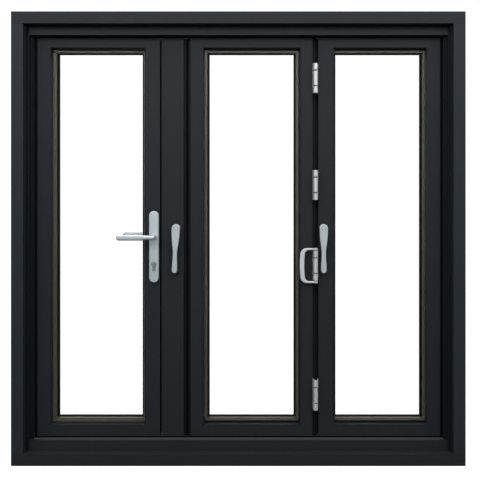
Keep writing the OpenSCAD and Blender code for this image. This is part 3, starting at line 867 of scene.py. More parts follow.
@dataclass
class Leaf(Assembly):
    """One glazed leaf: mitred members, glazing beads, sealed glass unit and its seals.

    Attributes:
        title: The leaf's name, which its nodes start with.
        left_node: What its left stile is called.
        right_node: What its right stile is called.
    """

    title: str = "middle"
    left_cover: float = 0.0
    left_node: str = "left_stile"
    right_node: str = "right_stile"
    rounding: float = 1.0 * MM
    seam: float = 0.12 * MM
    pane: float = 4 * MM
    pane_arris: float = 0.4 * MM
    pane_bite: float = 3 * MM
    spacer_width: float = 9 * MM
    spacer_back: Point = (7 * MM, 4 * MM)
    lip_more: float = 0.0
    gasket_reach: float = 3.2 * MM
    gasket_edge: float = 0.3 * MM
    back_gasket: float = 10 * MM
    bead: Sequence[Point] = (
        (0.0, 4.5 * MM), (0.7 * MM, 4.5 * MM), (1.0 * MM, 1.2 * MM), (1.8 * MM, 0.9 * MM),
        (3.5 * MM, 18.5 * MM), (3.5 * MM, 21 * MM), (0.0, 21 * MM))

    def build(self) -> None:
        """Builds every piece of the leaf."""
        sides = {
            Side.LEFT: f"{self.title}_{self.left_node}", Side.RIGHT: f"{self.title}_{self.right_node}",
            Side.BOTTOM: f"{self.title}_bottom_rail", Side.TOP: f"{self.title}_top_rail"}
        boxes = {side: Rect.of_node(node) for side, node in sides.items()}
        self.outline = Rect(*(boxes[side].edge(side) for side in Side))
        beads = Rect.of_node(f"{self.title}_beads")
        self.face = Rect(beads.left + self.left_cover, beads.right, beads.bottom, beads.top)
        self.lip = Rect(
            boxes[Side.LEFT].right + self.lip_more, boxes[Side.RIGHT].left, boxes[Side.BOTTOM].top,
            boxes[Side.TOP].bottom)
        self.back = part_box(sides[Side.LEFT])[1].y
        self.lip_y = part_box(f"{self.title}_gaskets")[1].y
        for side, node in sides.items():
            self.member(side, node)
        self.beads()
        self.spacer()
        self.panes()
        self.gaskets()

    def member(self, side: Side, node: str) -> None:
        """Builds one stile or rail: its body, and the outer glazing lip behind it."""
        shapes = []
        for name, inner, front, back in (
                ("body", self.face, 0.0, self.lip_y), ("lip", self.lip, self.lip_y, self.back)):
            width = abs(inner.edge(side) - self.outline.edge(side))
            section = [(0.0, front), (width, front), (width, back), (0.0, back)]
            shapes.append(Bench.mitred_bar(
                name, side, self.outline, inner, section, self.rounding, self.seam))
        grain = POWDER_UPRIGHT if side.upright else POWDER_LEVEL
        self.place(Bench.join(f"{node}_profile", shapes), grain, "grey_paint", node)

    def ring(self, outer: Rect, reach: float, section: Sequence[Point], rounding: float) -> list[bpy.types.Object]:
        """Makes four mitred strips with one section, all the way round."""
        inner = outer.inset(reach)
        return [
            Bench.mitred_bar(f"strip_{side.value}", side, outer, inner, section, rounding, self.seam)
            for side in Side]

    def beads(self) -> None:
        """Builds the sloped glazing beads."""
        reach = max(u for u, _ in self.bead)
        strips = self.ring(self.face, reach, self.bead, 0.25 * MM)
        piece = Bench.join(f"{self.title}_bead_strips", strips)
        self.place(piece, POWDER, "grey_paint", f"{self.title}_beads")

    def spacer(self) -> None:
        """Builds the spacer bar between the panes, with its two sight lines."""
        low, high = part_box(f"{self.title}_spacer")
        (across, up), w = self.spacer_back, self.spacer_width + self.lip_more
        outer = Rect(
            self.lip.left - across - w, self.lip.right + across + w, self.lip.bottom - up - w,
            self.lip.top + up + w)
        groove, lip = 0.5 * MM, 1.5 * MM
        section = [
            (0.0, low.y), (w, low.y), (w, low.y + lip), (w - groove, low.y + 2 * lip),
            (w - groove, high.y - 2 * lip), (w, high.y - lip), (w, high.y), (0.0, high.y)]
        strips = self.ring(outer, w, section, 0.15 * MM)
        self.place(
            Bench.join(f"{self.title}_spacer_bars", strips), SPACER, "spacer_bar", f"{self.title}_spacer")

    def gaskets(self) -> None:
        """Builds the seals between the beads, the glass and the outer lip."""
        low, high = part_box(f"{self.title}_gaskets")
        glass_low, glass_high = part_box(f"{self.title}_glass")
        strips = []
        for outer, reach, front, back in (
                (self.face, self.gasket_reach, low.y, glass_low.y),
                (self.lip.inset(-self.back_gasket), self.back_gasket - self.gasket_edge, glass_high.y, high.y)):
            section = [(0.0, front), (reach, front), (reach, back), (0.0, back)]
            strips += self.ring(outer, reach, section, 0.4 * MM)
        piece = Bench.join(f"{self.title}_gasket_strips", strips)
        self.place(piece, RUBBER, "black_rubber", f"{self.title}_gaskets")

    def panes(self) -> None:
        """Builds the two panes, with ground edges."""
        low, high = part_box(f"{self.title}_glass")
        more = self.pane_bite
        panes = []
        for y in (low.y, high.y - self.pane):
            pane = Bench.block(
                "pane", (low.x - more, y, low.z - more), (high.x + more, y + self.pane, high.z + more))
            panes.append(Bench.bevel(pane, self.pane_arris, 1))
        self.place(Bench.join(f"{self.title}_panes", panes), GLASS, "clear_glass", f"{self.title}_glass")


@dataclass
class MeetingStile(Assembly):
    """The broad stile that the entrance leaf closes against, with the groove behind its edge."""

    rounding: float = 1.0 * MM
    front_depth: float = 6 * MM
    cut_back: float = 7 * MM
    groove_depth: float = 12 * MM
    slot_width: float = 7 * MM
    slot_depth: float = 10 * MM
    seal_width: float = 5 * MM
    # The thickness of the dark strips on the groove's floor, which are painted shade.
    shade_sheet: float = 0.8 * MM

    def build(self) -> None:
        """Builds the stile and the seal in its slot."""
        low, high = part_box("meeting_stile")
        middle = Rect.of_node("middle_left_stile").left
        front = middle - 23 * MM
        slot = (front + middle - self.slot_width) / 2
        floor = self.groove_depth + self.slot_depth
        section = [
            (low.x, 0.0), (front, 0.0), (front, self.groove_depth), (slot, self.groove_depth), (slot, floor),
            (slot + self.slot_width, floor), (slot + self.slot_width, self.groove_depth),
            (middle, self.groove_depth), (middle, high.y), (low.x + self.cut_back, high.y),
            (low.x + self.cut_back, self.front_depth), (low.x, self.front_depth)]
        stile = Bench.profile("meeting_stile_profile", Axis.Z, section, (low.z, high.z))
        self.place(Bench.bevel(stile, self.rounding), POWDER_UPRIGHT, "grey_paint", "meeting_stile")
        gap = (self.slot_width - self.seal_width) / 2
        seal = Bench.block(
            "meeting_slot_seal", (slot + gap, self.groove_depth + 2 * MM, low.z + 1 * MM),
            (slot + gap + self.seal_width, floor, high.z - 1 * MM))
        self.place(Bench.bevel(seal, 1.2 * MM, 3), RUBBER, "black_rubber")
        self.shade_groove_floor((front, slot), (slot + self.slot_width, middle), low.z, high.z)
        self.lip_seal(low.x + self.cut_back, low.z, high.z)

    def shade_groove_floor(self, left: Point, right: Point, low: float, high: float) -> None:
        """Builds two dark strips on the groove's floor: painted shade for the deep groove.

        Args:
            left: The left strip's sides.
            right: The right strip's sides.
            low: The strips' lower end.
            high: Their upper end.
        """
        strips = []
        for near, far in (left, right):
            strip = Bench.block(
                "strip", (near + 0.3 * MM, self.groove_depth - self.shade_sheet, low + 1 * MM),
                (far - 0.3 * MM, self.groove_depth, high - 1 * MM))
            strips.append(Bench.bevel(strip, 0.4 * MM))
        self.place(Bench.join("meeting_groove_covers", strips), GROOVE_SHADE, "black_rubber")

    def lip_seal(self, edge: float, low: float, high: float) -> None:
        """Builds the seal on the entrance leaf's edge that closes the gap to this stile.

        Args:
            edge: The stile's cut back edge.
            low: The seal's lower end.
            high: Its upper end.
        """
        leaf = Rect.of_node("entrance_lock_stile").right
        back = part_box("entrance_lock_stile")[1].y
        seal = Bench.block(
            "entrance_lip_seal", (leaf, back - 12 * MM, low + 1 * MM), (edge - 1 * MM, back - 4 * MM, high - 1 * MM))
        self.place(Bench.bevel(seal, 2 * MM, 3), RUBBER, "black_rubber", body="entrance_leaf")


@dataclass
class FoldSeals(Assembly):
    """The two seals that lap each other between the folding leaves and end close to the tracks."""

    track_gap: float = 0.8 * MM
    depth: float = 10 * MM
    second_depth: float = 9 * MM
    reach: float = 12 * MM
    rounding: float = 2.0 * MM

    def build(self) -> None:
        """Builds both seals."""
        low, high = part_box("fold_seals")
        low.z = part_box("sill_track")[1].z + self.track_gap
        high.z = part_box("head_track")[0].z - self.track_gap
        strips = [
            Bench.block("first", low, (low.x + self.reach, low.y + self.depth, high.z)),
            Bench.block("second", (high.x - self.reach, high.y - self.second_depth, low.z), high)]
        for strip in strips:
            Bench.bevel(strip, self.rounding, 3)
        self.place(Bench.join("fold_seal_strips", strips), FOLD_RUBBER, "black_rubber", "fold_seals")


@dataclass
class Hinges(Assembly):
    """The hinges in the fold groove and the outside hinges at both jambs."""

    heights: Sequence[float] = (220 * MM, 656 * MM, 927 * MM, 1286 * MM)
    height: float = 100 * MM
    middle: float = 48.5 * MM
    gap: float = 3.8 * MM
    radius: float = 7.5 * MM
    plate: float = 3 * MM
    plate_width: float = 32 * MM
    edge_gap: float = 1 * MM
    plate_span: Point = (5 * MM, 21 * MM)
    fold_front: float = 18 * MM
    arm: Sequence[Point] = (
        (2.9 * MM, -18 * MM), (6 * MM, -18 * MM), (6 * MM, 5.4 * MM), (1.2 * MM, 5.4 * MM), (1.2 * MM, -3 * MM))
    rim: float = 0.7 * MM
    screw_radius: float = 4 * MM
    screw_height: float = 1 * MM

    def build(self) -> None:
        """Builds every hinge half."""
        self.fold_halves()
        self.outside_halves()

    def spans(self, outer: bool) -> list[Point]:
        """The knuckles' spans about a hinge's middle: the two outer ones or the middle one."""
        inside, end = self.middle / 2 + self.gap, self.height / 2
        return [(-end, -inside), (inside, end)] if outer else [(-self.middle / 2, self.middle / 2)]

    def knuckles(self, at: Point, outer: bool) -> list[bpy.types.Object]:
        """Makes a half's knuckles about height 0, with rounded rims."""
        made = []
        for span in self.spans(outer):
            rod = Bench.rod("knuckle", Axis.Z, at, span, self.radius)
            made.append(Bench.bevel(rod, self.rim, 3))
        return made

    def repeat(self, shape: bpy.types.Object, name: str) -> bpy.types.Object:
        """Puts a hinge half that was made about height 0 at every height."""
        copies = [Bench.copy(shape, (0.0, 0.0, z)) for z in self.heights]
        bpy.data.objects.remove(shape)
        return Bench.join(name, copies)

    def fold_halves(self) -> None:
        """Builds the two halves of the fold hinges, on the two leaves' edges."""
        edges = (Rect.of_node("middle_hinge_halves").left, Rect.of_node("end_hinge_halves").right)
        axis = ((edges[0] + edges[1]) / 2, -self.fold_front)
        for node, edge, sign, outer in (
                ("middle_hinge_halves", edges[0], 1, True), ("end_hinge_halves", edges[1], -1, False)):
            x = sorted((edge, edge + sign * self.plate))
            plate = Bench.block(
                "plate", (x[0], self.plate_span[0], -self.height / 2), (x[1], self.plate_span[1], self.height / 2))
            shapes = [Bench.bevel(plate, 0.5 * MM)]
            arm_points = [(edge + sign * u, v) for u, v in self.arm]
            for span in self.spans(outer):
                arm = Bench.profile("arm", Axis.Z, arm_points, span)
                shapes.append(Bench.bevel(arm, 0.4 * MM, 2))
            shapes += self.knuckles(axis, outer)
            half = self.repeat(Bench.join("half", shapes), f"{node}_set")
            self.place(half, HINGE_SILVER, "hinge_metal", node)

    def outside_half(self, plate_low: float, axis: Point, back: float, outer: bool) -> bpy.types.Object:
        """Makes one half of an outside hinge about height 0, for the left jamb.

        Args:
            plate_low: The plate's lower X.
            axis: The hinge axis in X and Y.
            back: The face that the plate lies on.
            outer: Whether it has the outer knuckles.

        Returns:
            The half.
        """
        top = self.height / 2
        plate_high = plate_low + self.plate_width
        plate = Bench.block("plate", (plate_low, back, -top), (plate_high, back + self.plate, top))
        shapes = [Bench.bevel(plate, 0.8 * MM, 3)]
        near, sign = (plate_high, -1) if outer else (plate_low, 1)
        x = sorted((near + sign * self.plate, axis[0]))
        for low, high in self.spans(outer):
            arm = Bench.block("arm", (x[0], back, low), (x[1], axis[1], high))
            shapes.append(Bench.bevel(arm, self.rim, 2))
        shapes += self.knuckles(axis, outer)
        for z in (-0.7 * top, 0.0, 0.7 * top):
            at = Vector(((plate_low + plate_high) / 2 - sign * 0 * MM, back + self.plate, z))
            shapes.append(Bench.screw("screw", at, self.screw_radius, -self.screw_height))
        return Bench.join("half", shapes)

    def outside_halves(self) -> None:
        """Builds the outside hinges of the entrance leaf and, mirrored, of the end leaf."""
        low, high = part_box("jamb_hinge_halves")
        axis = (high.x - self.radius, high.y - self.radius)
        back = low.y
        leaf_low = Rect.of_node("entrance_hinge_stile").left + self.edge_gap
        jamb_half = self.outside_half(low.x, axis, back, True)
        leaf_half = self.outside_half(leaf_low, axis, back, False)
        pair = Bench.join("pair", [Bench.copy(jamb_half, (0, 0, 0)), Bench.copy(leaf_half, (0, 0, 0))])
        mirrored = Bench.mirror(pair, Axis.X, 0.0)
        bpy.data.objects.remove(pair)
        self.place(self.repeat(jamb_half, "jamb_hinge_set"), HINGE_SILVER, "hinge_metal", "jamb_hinge_halves")
        self.place(
            self.repeat(leaf_half, "entrance_hinge_set"), HINGE_SILVER, "hinge_metal", "entrance_hinge_halves",
            body="entrance_leaf")
        self.place(self.repeat(mirrored, "end_hinge_set"), HINGE_SILVER, "hinge_metal", "end_hinges")


@dataclass
class PullHandle(Assembly):
    """The bowed grip that is carried by the ends of one fold hinge."""

    grip: float = 15.6 * MM
    thickness: float = 6.9 * MM
    bow: float = 4 * MM
    corner: float = 20 * MM
    inset: Point = (3.6 * MM, 0.3 * MM)
    rounding: float = 3.0 * MM
    eye_radius: float = 7.5 * MM

    def build(self) -> None:
        """Builds the handle with its two eyes."""
        low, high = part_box("pull_handle")
        self.centre = (high.x - self.eye_radius, (low.z + high.z) / 2)
        half = (high.z - low.z) / 2 - self.inset[1]
        left = low.x + self.bow + self.inset[0] - self.centre[0]
        inner = half - self.thickness
        outline = [(0.0, half)] + arc((left + self.corner, half - self.corner), self.corner, 90, 180, 10)
        outline += self.side(left, half - self.corner, -1)
        outline += arc((left + self.corner, self.corner - half), self.corner, 180, 270, 10) + [(0.0, -half)]
        small = self.corner - self.thickness
        right = left + self.grip
        outline += [(0.0, -inner)] + arc((right + small, small - inner), small, 270, 180, 8)
        outline += self.side(right, inner - small, 1)
        outline += arc((right + small, inner - small), small, 180, 90, 8) + [(0.0, inner)]
        points = [(self.centre[0] + x - self.bulge(z / half), self.centre[1] + z) for x, z in outline]
        grip = Bench.profile("grip", Axis.Y, points, (low.y + 3 * MM, high.y - 3 * MM))
        Bench.bevel(grip, self.rounding, 5)
        shapes = [grip]
        for span in ((inner, half), (-half, -inner)):
            eye = Bench.rod(
                "eye", Axis.Z, (self.centre[0], (low.y + high.y) / 2),
                (self.centre[1] + span[0], self.centre[1] + span[1]), self.eye_radius)
            shapes.append(Bench.bevel(eye, 1.2 * MM, 3))
        self.place(Bench.join("pull_handle_grip", shapes), HINGE_SILVER, "satin_handles", "pull_handle")

    def bulge(self, share: float) -> float:
        """How far the grip bows out at a share of its half height."""
        return self.bow * math.cos(math.pi / 2 * min(1.0, abs(share)))

    @staticmethod
    def side(x: float, reach: float, sign: int) -> list[Point]:
        """Points down or up one long side of the grip, without its two ends."""
        steps = 16
        return [(x, -sign * reach * (2 * i / steps - 1) * -1) for i in range(1, steps)]


@dataclass
class ShootBolts(Assembly):
    """The two handles that throw the shoot bolts, each on its rose."""

    head: float = 14 * MM
    neck: float = 7.5 * MM
    tip: float = 9.5 * MM
    reach: float = 150.5 * MM
    thickness: float = 9 * MM
    lean: float = 1.9
    waist: float = 0.6
    rounding: float = 2.6 * MM
    cap_radius: float = 7 * MM
    # The width of the dark ring round the cap, which is painted shade.
    ring: float = 1.2 * MM

    def half_width(self, share: float) -> float:
        """Half the handle's width at a share of the way down."""
        if share < self.waist:
            way = max(0.0, (share - 0.04) / (self.waist - 0.04)) ** 1.35
            return self.neck + (self.head - self.neck) * (1 + math.cos(math.pi * way)) / 2
        way = min(1.0, (share - self.waist) / (0.93 - self.waist)) ** 1.35
        return self.neck + (self.tip - self.neck) * (1 - math.cos(math.pi * way)) / 2

    def build(self) -> None:
        """Builds both handles and roses."""
        low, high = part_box("bolt_roses")
        radius = (high.z - low.z) / 2
        z = (low.z + high.z) / 2
        pivots = (low.x + radius, high.x - radius)
        roses = []
        for x in pivots:
            rose = Bench.rod("rose", Axis.Y, (x, z), (low.y, high.y), radius, 56)
            roses.append(Bench.bevel(rose, 1.5 * MM, 3))
        self.place(Bench.join("shoot_bolt_roses", roses), SATIN, "satin_handles", "bolt_roses")
        for number, (x, lean) in enumerate(zip(pivots, (self.lean, 0.0)), 1):
            self.handle(number, (x, z), math.radians(lean))

    def handle(self, number: int, pivot: Point, lean: float) -> None:
        """Builds one handle, dished in front, with a cap over its pivot and a dark ring round the cap, which is
        painted shade for the groove there.
        """
        node = f"bolt_handle_{number}"
        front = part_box(node)[0].y
        back = front + self.thickness
        cos, sin = math.cos(lean), math.sin(lean)
        outline = paddle(self.half_width, self.reach - self.tip)
        points = [(pivot[0] + x * cos + z * sin, pivot[1] - x * sin + z * cos) for x, z in outline]
        blade = Bench.profile("blade", Axis.Y, points, (front, back))
        Bench.bevel(blade, self.rounding, 4)
        Bench.dish(
            blade, lambda middle, normal: normal.y < -0.99 and middle.y < front + 0.01 * MM,
            1.6 * MM, Vector((0, 0.7 * MM, 0)))
        hub = Bench.rod("hub", Axis.Y, pivot, (back - 1 * MM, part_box(node)[1].y), 9 * MM)
        cap = Bench.rod("cap", Axis.Y, pivot, (front, front + 2 * MM), self.cap_radius, 40)
        Bench.bevel(cap, 0.5 * MM, 3)
        # Painted shade: a dark nickel ring set round the cap, standing in for the shade in the groove around it.
        ring = Bench.rod("ring", Axis.Y, pivot, (front + 0.6 * MM, front + 2 * MM), self.cap_radius + self.ring, 40)
        ring.name = f"shoot_bolt_ring_{number}"
        self.place(ring, NICKEL, "satin_handles", body=f"shoot_bolt_handle_{number}")
        piece = Bench.join(f"shoot_bolt_handle_{number}", [blade, hub, cap])
        self.place(piece, SATIN, "satin_handles", node, body=f"shoot_bolt_handle_{number}")


@dataclass
class LeverSet(Assembly):
    """Two long plates with a lever each, and the cylinder below them."""

    body: str = "entrance_leaf"
    rim: float = 2.2 * MM
    grip_height: float = 20 * MM
    neck_height: float = 15 * MM
    neck_length: float = 24 * MM
    grip_thickness: float = 13 * MM
    rounding: float = 5.6 * MM
    hub_radius: float = 9 * MM
    spindle_radius: float = 5.5 * MM
    spindle_z: float = 752 * MM
    cylinder_drop: float = 92 * MM
    barrel_radius: float = 8.5 * MM
    tail_half: float = 5 * MM
    tail_reach: float = 23.4 * MM
    plug_radius: float = 6.3 * MM
    run_gap: float = 0.3 * MM
    foot: float = 1.6 * MM

    def build(self) -> None:
        """Builds the plates, the cylinder and the levers."""
        low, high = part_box("handle_plates")
        self.x = (low.x + high.x) / 2
        self.plates(low, high)
        self.cylinder()
        self.levers()

    def keyhole(self, margin: float) -> list[Point]:
        """The cylinder's outline: a round barrel over a narrower tail."""
        z = self.spindle_z - self.cylinder_drop
        radius, half = self.barrel_radius + margin, self.tail_half + margin
        open_angle = math.degrees(math.asin(half / radius))
        tail_z = z - self.tail_reach + self.tail_half
        return (arc((self.x, z), radius, -90 + open_angle, 270 - open_angle, 32)
                + arc((self.x, tail_z), half, 180, 360, 12))

    def plates(self, low: Vector, high: Vector) -> None:
        """Builds the two plates, with round ends and a sloped rim."""
        radius = (high.x - low.x) / 2
        ends = ((self.x, high.z - radius), (self.x, low.z + self.foot + radius))
        outline = arc(ends[0], radius, 0, 180, 36) + arc(ends[1], radius, 180, 360, 36)
        leaf_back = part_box("entrance_lock_stile")[1].y
        shapes = []
        for span in ((low.y, 0.0), (leaf_back, high.y)):
            plate = Bench.profile("plate", Axis.Y, outline, span)
            Bench.bevel(plate, self.rim, 3, 60)
            past = (span[0] - 1 * MM, span[1] + 1 * MM)
            Bench.bore(plate, Bench.profile("cylinder_hole", Axis.Y, self.keyhole(self.run_gap), past))
            hole = self.spindle_radius + self.run_gap
            Bench.bore(plate, Bench.rod("spindle_hole", Axis.Y, (self.x, self.spindle_z), past, hole))
            shapes.append(plate)
        self.place(Bench.join("handle_plate_pair", shapes), SATIN, "satin_handles", "handle_plates")

    def cylinder(self) -> None:
        """Builds the cylinder and a plug with a key slot in each end."""
        low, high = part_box("lock_cylinder")
        z = self.spindle_z - self.cylinder_drop
        barrel = Bench.profile("lock_cylinder_body", Axis.Y, self.keyhole(0.0), (low.y, high.y))
        Bench.bevel(barrel, 0.4 * MM)
        recess = 0.6 * MM
        slots = []
        for face, sign in ((low.y, 1), (high.y, -1)):
            inside = (face - sign * 1 * MM, face + sign * recess)
            Bench.bore(barrel, Bench.rod("seat", Axis.Y, (self.x, z), inside, self.plug_radius))
            plug_span = (face + sign * 0.1 * MM, face + sign * 3 * MM)
            plug = Bench.rod("plug", Axis.Y, (self.x, z), plug_span, self.plug_radius - 0.4 * MM)
            Bench.bevel(plug, 0.3 * MM)
            slot_low = Vector((self.x - 0.9 * MM, min(plug_span) - 1 * MM, z - 3.6 * MM))
            slot_high = Vector((self.x + 0.9 * MM, max(plug_span) - 0.6 * MM, z + 4 * MM))
            if sign < 0:
                slot_low.y, slot_high.y = min(plug_span) + 0.6 * MM, max(plug_span) + 1 * MM
            Bench.bore(plug, Bench.block("key_slot", slot_low, slot_high))
            slots.append(plug)
        self.place(
            Bench.join("lock_cylinder_body", [barrel] + slots), NICKEL, "nickel_cylinder", "lock_cylinder")

    def levers(self) -> None:
        """Builds both levers and their spindle as one turning piece."""
        low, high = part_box("levers")
        length = self.x - low.x - self.grip_height / 2
        neck, grip = self.neck_height / 2, self.grip_height / 2

        def half_width(share: float) -> float:
            """Half the lever's height at a share of the way to its tip."""
            blend = min(1.0, max(0.0, (share * length - self.neck_length) / (12 * MM)))
            return neck + (grip - neck) * (1 - math.cos(math.pi * blend)) / 2

        outline = [(self.x + z, self.spindle_z - x) for x, z in paddle(half_width, length, 36)]
        plate_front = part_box("handle_plates")[0].y
        blade = Bench.profile("blade", Axis.Y, outline, (low.y, low.y + self.grip_thickness))
        Bench.bevel(blade, self.rounding, 5)
        hub_span = (low.y + self.grip_thickness / 2, plate_front - self.run_gap)
        hub = Bench.rod("hub", Axis.Y, (self.x, self.spindle_z), hub_span, self.hub_radius)
        Bench.bevel(hub, 0.8 * MM, 3)
        room_side = Bench.join("room_side", [blade, hub])
        outside = Bench.mirror(room_side, Axis.Y, (low.y + high.y) / 2)
        spindle_span = (plate_front - 1 * MM, low.y + high.y - plate_front + 1 * MM)
        spindle = Bench.rod("spindle", Axis.Y, (self.x, self.spindle_z), spindle_span, self.spindle_radius)
        piece = Bench.join("lever_pair", [room_side, outside, spindle])
        self.place(piece, SATIN, "satin_handles", "levers", body="lever_set")


@dataclass
class RollerCarriages(Assembly):
    """The carriages that run in the two tracks outside, with their brackets."""

    wheel_radius: float = 8 * MM
    wheel_width: float = 5 * MM
    axle_radius: float = 2.5 * MM
    wheel_reach: float = 25 * MM
    body_width: float = 76 * MM
    body_depth: float = 14 * MM
    body_height: float = 15 * MM
    pin_radius: float = 3.5 * MM
    pin_below: float = 4 * MM
    bracket_height: float = 50 * MM
    plate: float = 3 * MM
    knuckle_radius: float = 7.5 * MM

    def build(self) -> None:
        """Builds the upper carriage and copies it, upside down, to the sill."""
        low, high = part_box("roller_carriages")
        x = (low.x + high.x) / 2
        leaf_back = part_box("meeting_stile")[1].y
        y = leaf_back + self.knuckle_radius + 0.5 * MM
        axle_z = high.z - self.wheel_radius
        wheels, metal = [], []
        half_gauge = (high.y - y)
        for side in (-1, 1):
            at = (x + side * self.wheel_reach, axle_z)
            metal.append(Bench.rod("axle", Axis.Y, at, (y - half_gauge, y + half_gauge), self.axle_radius, 20))
            for sign in (-1, 1):
                span = (y + sign * half_gauge, y + sign * (half_gauge - self.wheel_width))
                wheel = Bench.rod("wheel", Axis.Y, at, span, self.wheel_radius)
                wheels.append(Bench.bevel(wheel, 1 * MM, 2))
        body = Bench.block(
            "body", (x - self.body_width / 2, y - self.body_depth / 2, high.z - self.body_height),
            (x + self.body_width / 2, y + self.body_depth / 2, high.z))
        metal.append(Bench.bevel(body, 2 * MM, 3))
        middle_z = (low.z + high.z) / 2
        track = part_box("head_track")[0].z
        pin_top = high.z - self.body_height + 1 * MM
        bracket = (track - 74 * MM, track - 74 * MM + self.bracket_height)
        pin = Bench.rod("pin", Axis.Z, (x, y), (bracket[0] - self.pin_below, pin_top), self.pin_radius, 28)
        metal.append(Bench.bevel(pin, 0.6 * MM))
        plate = Bench.block(
            "plate", (x - 32 * MM, leaf_back, bracket[0]), (x + 32 * MM, leaf_back + self.plate, bracket[1]))
        metal.append(Bench.bevel(plate, 0.8 * MM, 3))
        web = Bench.block(
            "web", (x - self.knuckle_radius, leaf_back, bracket[0]), (x + self.knuckle_radius, y, bracket[1]))
        metal.append(Bench.bevel(web, 0.5 * MM))
        knuckle = Bench.rod("knuckle", Axis.Z, (x, y), bracket, self.knuckle_radius)
        metal.append(Bench.bevel(knuckle, 0.9 * MM, 3))
        for side in (-1, 1):
            for z in (bracket[0] + 12 * MM, bracket[1] - 12 * MM):
                at = Vector((x + side * 20 * MM, leaf_back + self.plate, z))
                metal.append(Bench.screw("screw", at, 4 * MM, -1 * MM))
        for name, shapes, finish in (("carriage_metal", metal, SATIN), ("carriage_wheels", wheels, NYLON)):
            upper = Bench.join(name, shapes)
            lower = Bench.mirror(upper, Axis.Z, middle_z)
            self.place(Bench.join(name, [upper, lower]), finish, "hinge_metal", "roller_carriages")


@dataclass(frozen=True)
class Lamp:
    """A soft light that looks at the middle of the door.

    Attributes:
        name: Its name.
        at: Its place.
        size: Its width and height.
        power: Its power, in watts.
        colour: Its colour.
    """

    name: str
    at: Place
    size: Point
    power: float
    colour: Colour

    def build(self) -> None:
        """Adds the light."""
        bpy.ops.object.light_add(type="AREA", location=self.at)
        light = bpy.context.active_object
        light.name = f"{self.name}_light"
        light.data.shape = "RECTANGLE"
        light.data.size, light.data.size_y = self.size
        light.data.energy = self.power
        light.data.color = self.colour
        middle = Vector((0, 0, 0.75))
        light.rotation_euler = (middle - Vector(self.at)).to_track_quat("-Z", "Y").to_euler()


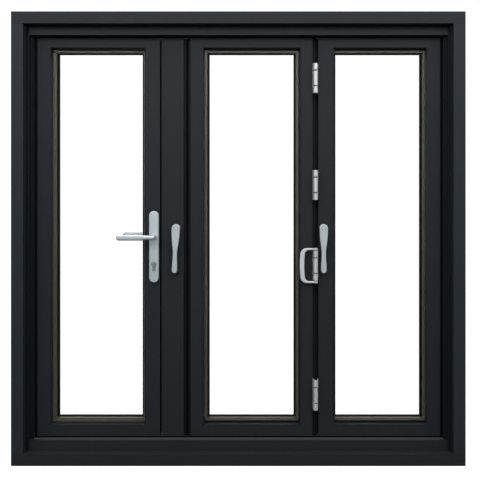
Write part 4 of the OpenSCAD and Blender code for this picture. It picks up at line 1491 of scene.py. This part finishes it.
@dataclass
class Studio:
    """A pale floor, a white backdrop, soft light and the camera."""

    camera_place: Place = (0.065, -3.075, 0.9436)
    focal_px: float = 910.0
    axis_px: Point = (258.0, 180.0)
    image_px: Point = (480.0, 477.0)
    sensor: float = 36.0
    floor_size: float = 14.0
    room_light: float = 0.2
    floor_glow: float = 0.84
    backdrop: float = 1.14
    softbox: float = 0.95
    lights: Sequence[Lamp] = (
        Lamp("key", (0.0, -2.3, 2.2), (7.0, 1.0), 132.0, (1.0, 0.95, 0.99)),
        Lamp("overhead", (0.0, -0.75, 2.7), (5.0, 0.6), 26.0, (1.0, 0.96, 1.0)),
        Lamp("fill", (-0.8, -4.4, 1.6), (3.0, 2.0), 6.0, (1.0, 1.0, 1.0)),
        Lamp("behind", (0.2, 1.5, 3.2), (3.0, 1.6), 60.0, (1.0, 0.98, 0.95)),
    )

    def build(self) -> None:
        """Builds the studio."""
        self.camera()
        self.world()
        self.floor()
        for lamp in self.lights:
            lamp.build()
        bpy.context.scene.view_settings.view_transform = "Standard"

    def camera(self) -> None:
        """Adds the camera, level and square to the door, with the shift that frames it."""
        bpy.ops.object.camera_add(location=self.camera_place, rotation=(math.pi / 2, 0, 0))
        camera = bpy.context.active_object
        camera.data.sensor_width = self.sensor
        camera.data.lens = self.focal_px * self.sensor / self.image_px[0]
        camera.data.shift_x = (self.image_px[0] / 2 - self.axis_px[0]) / self.image_px[0]
        camera.data.shift_y = (self.axis_px[1] - self.image_px[1] / 2) / self.image_px[0]
        camera.data.clip_end = 60.0
        bpy.context.scene.camera = camera

    def world(self) -> None:
        """Makes a white background over soft grey studio light that is brighter above."""
        world = bpy.data.worlds.new("studio")
        bpy.context.scene.world = world
        graph = Graph(world)
        way = graph.node("ShaderNodeTexCoord").outputs["Generated"]
        parts = graph.node("ShaderNodeSeparateXYZ", None, {0: way})
        height, depth = Value(graph, parts.outputs["Z"]), Value(graph, parts.outputs["Y"])
        path = graph.node("ShaderNodeLightPath").outputs
        glossy = Value(graph, path["Is Glossy Ray"])
        room = self.room_light * (height * 0.45 + 1.0)
        softbox = self.softbox * (height * 0.75 - depth * 0.75 + 0.1).at_least(0.05).at_most(1.1)
        strength = room * (1.0 - glossy) + softbox * glossy
        light = graph.node("ShaderNodeBackground", None, {"Color": (0.78, 1.0, 0.98, 1.0), "Strength": strength})
        white = graph.node("ShaderNodeBackground", None, {"Color": (1, 1, 1, 1), "Strength": self.backdrop})
        seen = Value(graph, path["Is Camera Ray"]) + Value(graph, path["Is Transmission Ray"])
        seen = (seen + glossy * depth.over(0.25)).at_most(1.0)
        mixed = graph.node(
            "ShaderNodeMixShader", None, {0: seen, 1: light.outputs[0], 2: white.outputs[0]})
        graph.node("ShaderNodeOutputWorld", None, {"Surface": mixed.outputs[0]})

    def floor(self) -> None:
        """Adds the floor, which reads white where no shadow falls."""
        Bench.fresh()
        bpy.ops.mesh.primitive_plane_add(size=self.floor_size, location=(0, 0, -0.5 * MM))
        floor = bpy.context.active_object
        floor.name = "studio_floor"
        material = bpy.data.materials.new("pale_floor")
        graph = Graph(material)
        cloud = graph.noise(Grain.EVEN.value, 1.5)
        matt = graph.node("ShaderNodeBsdfPrincipled", None, {
            "Base Color": graph.blend(cloud, (0.15, 0.15, 0.15), (0.17, 0.17, 0.17)), "Roughness": 0.9,
            "Specular IOR Level": 0.1})
        glow = graph.node("ShaderNodeEmission", None, {"Color": (1, 1, 1, 1), "Strength": 1.38})
        path = graph.node("ShaderNodeLightPath").outputs
        seen = Value(graph, path["Is Camera Ray"]) + Value(graph, path["Is Transmission Ray"])
        seen = seen * self.floor_glow
        graph.surface(graph.node(
            "ShaderNodeMixShader", None, {0: seen, 1: matt.outputs[0], 2: glow.outputs[0]}))
        floor.data.materials.append(material)


def main() -> None:
    """Builds the door set piece by piece, then the studio."""
    logging.basicConfig(level=logging.INFO, format="%(name)s: %(message)s")
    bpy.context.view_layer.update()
    assemblies = [
        OuterFrame(),
        Leaf(
            body="entrance_leaf", title="entrance", lip_more=3.6 * MM, left_node="hinge_stile",
            right_node="lock_stile"),
        Leaf(title="middle"),
        Leaf(title="end", left_cover=6 * MM),
        MeetingStile(),
        FoldSeals(),
        Hinges(),
        PullHandle(),
        ShootBolts(),
        LeverSet(),
        RollerCarriages(),
        Studio(),
    ]
    for assembly in assemblies:
        log.info("building the %s", type(assembly).__name__)
        assembly.build()
    Bench.fresh()


if __name__ == "__main__":
    main()
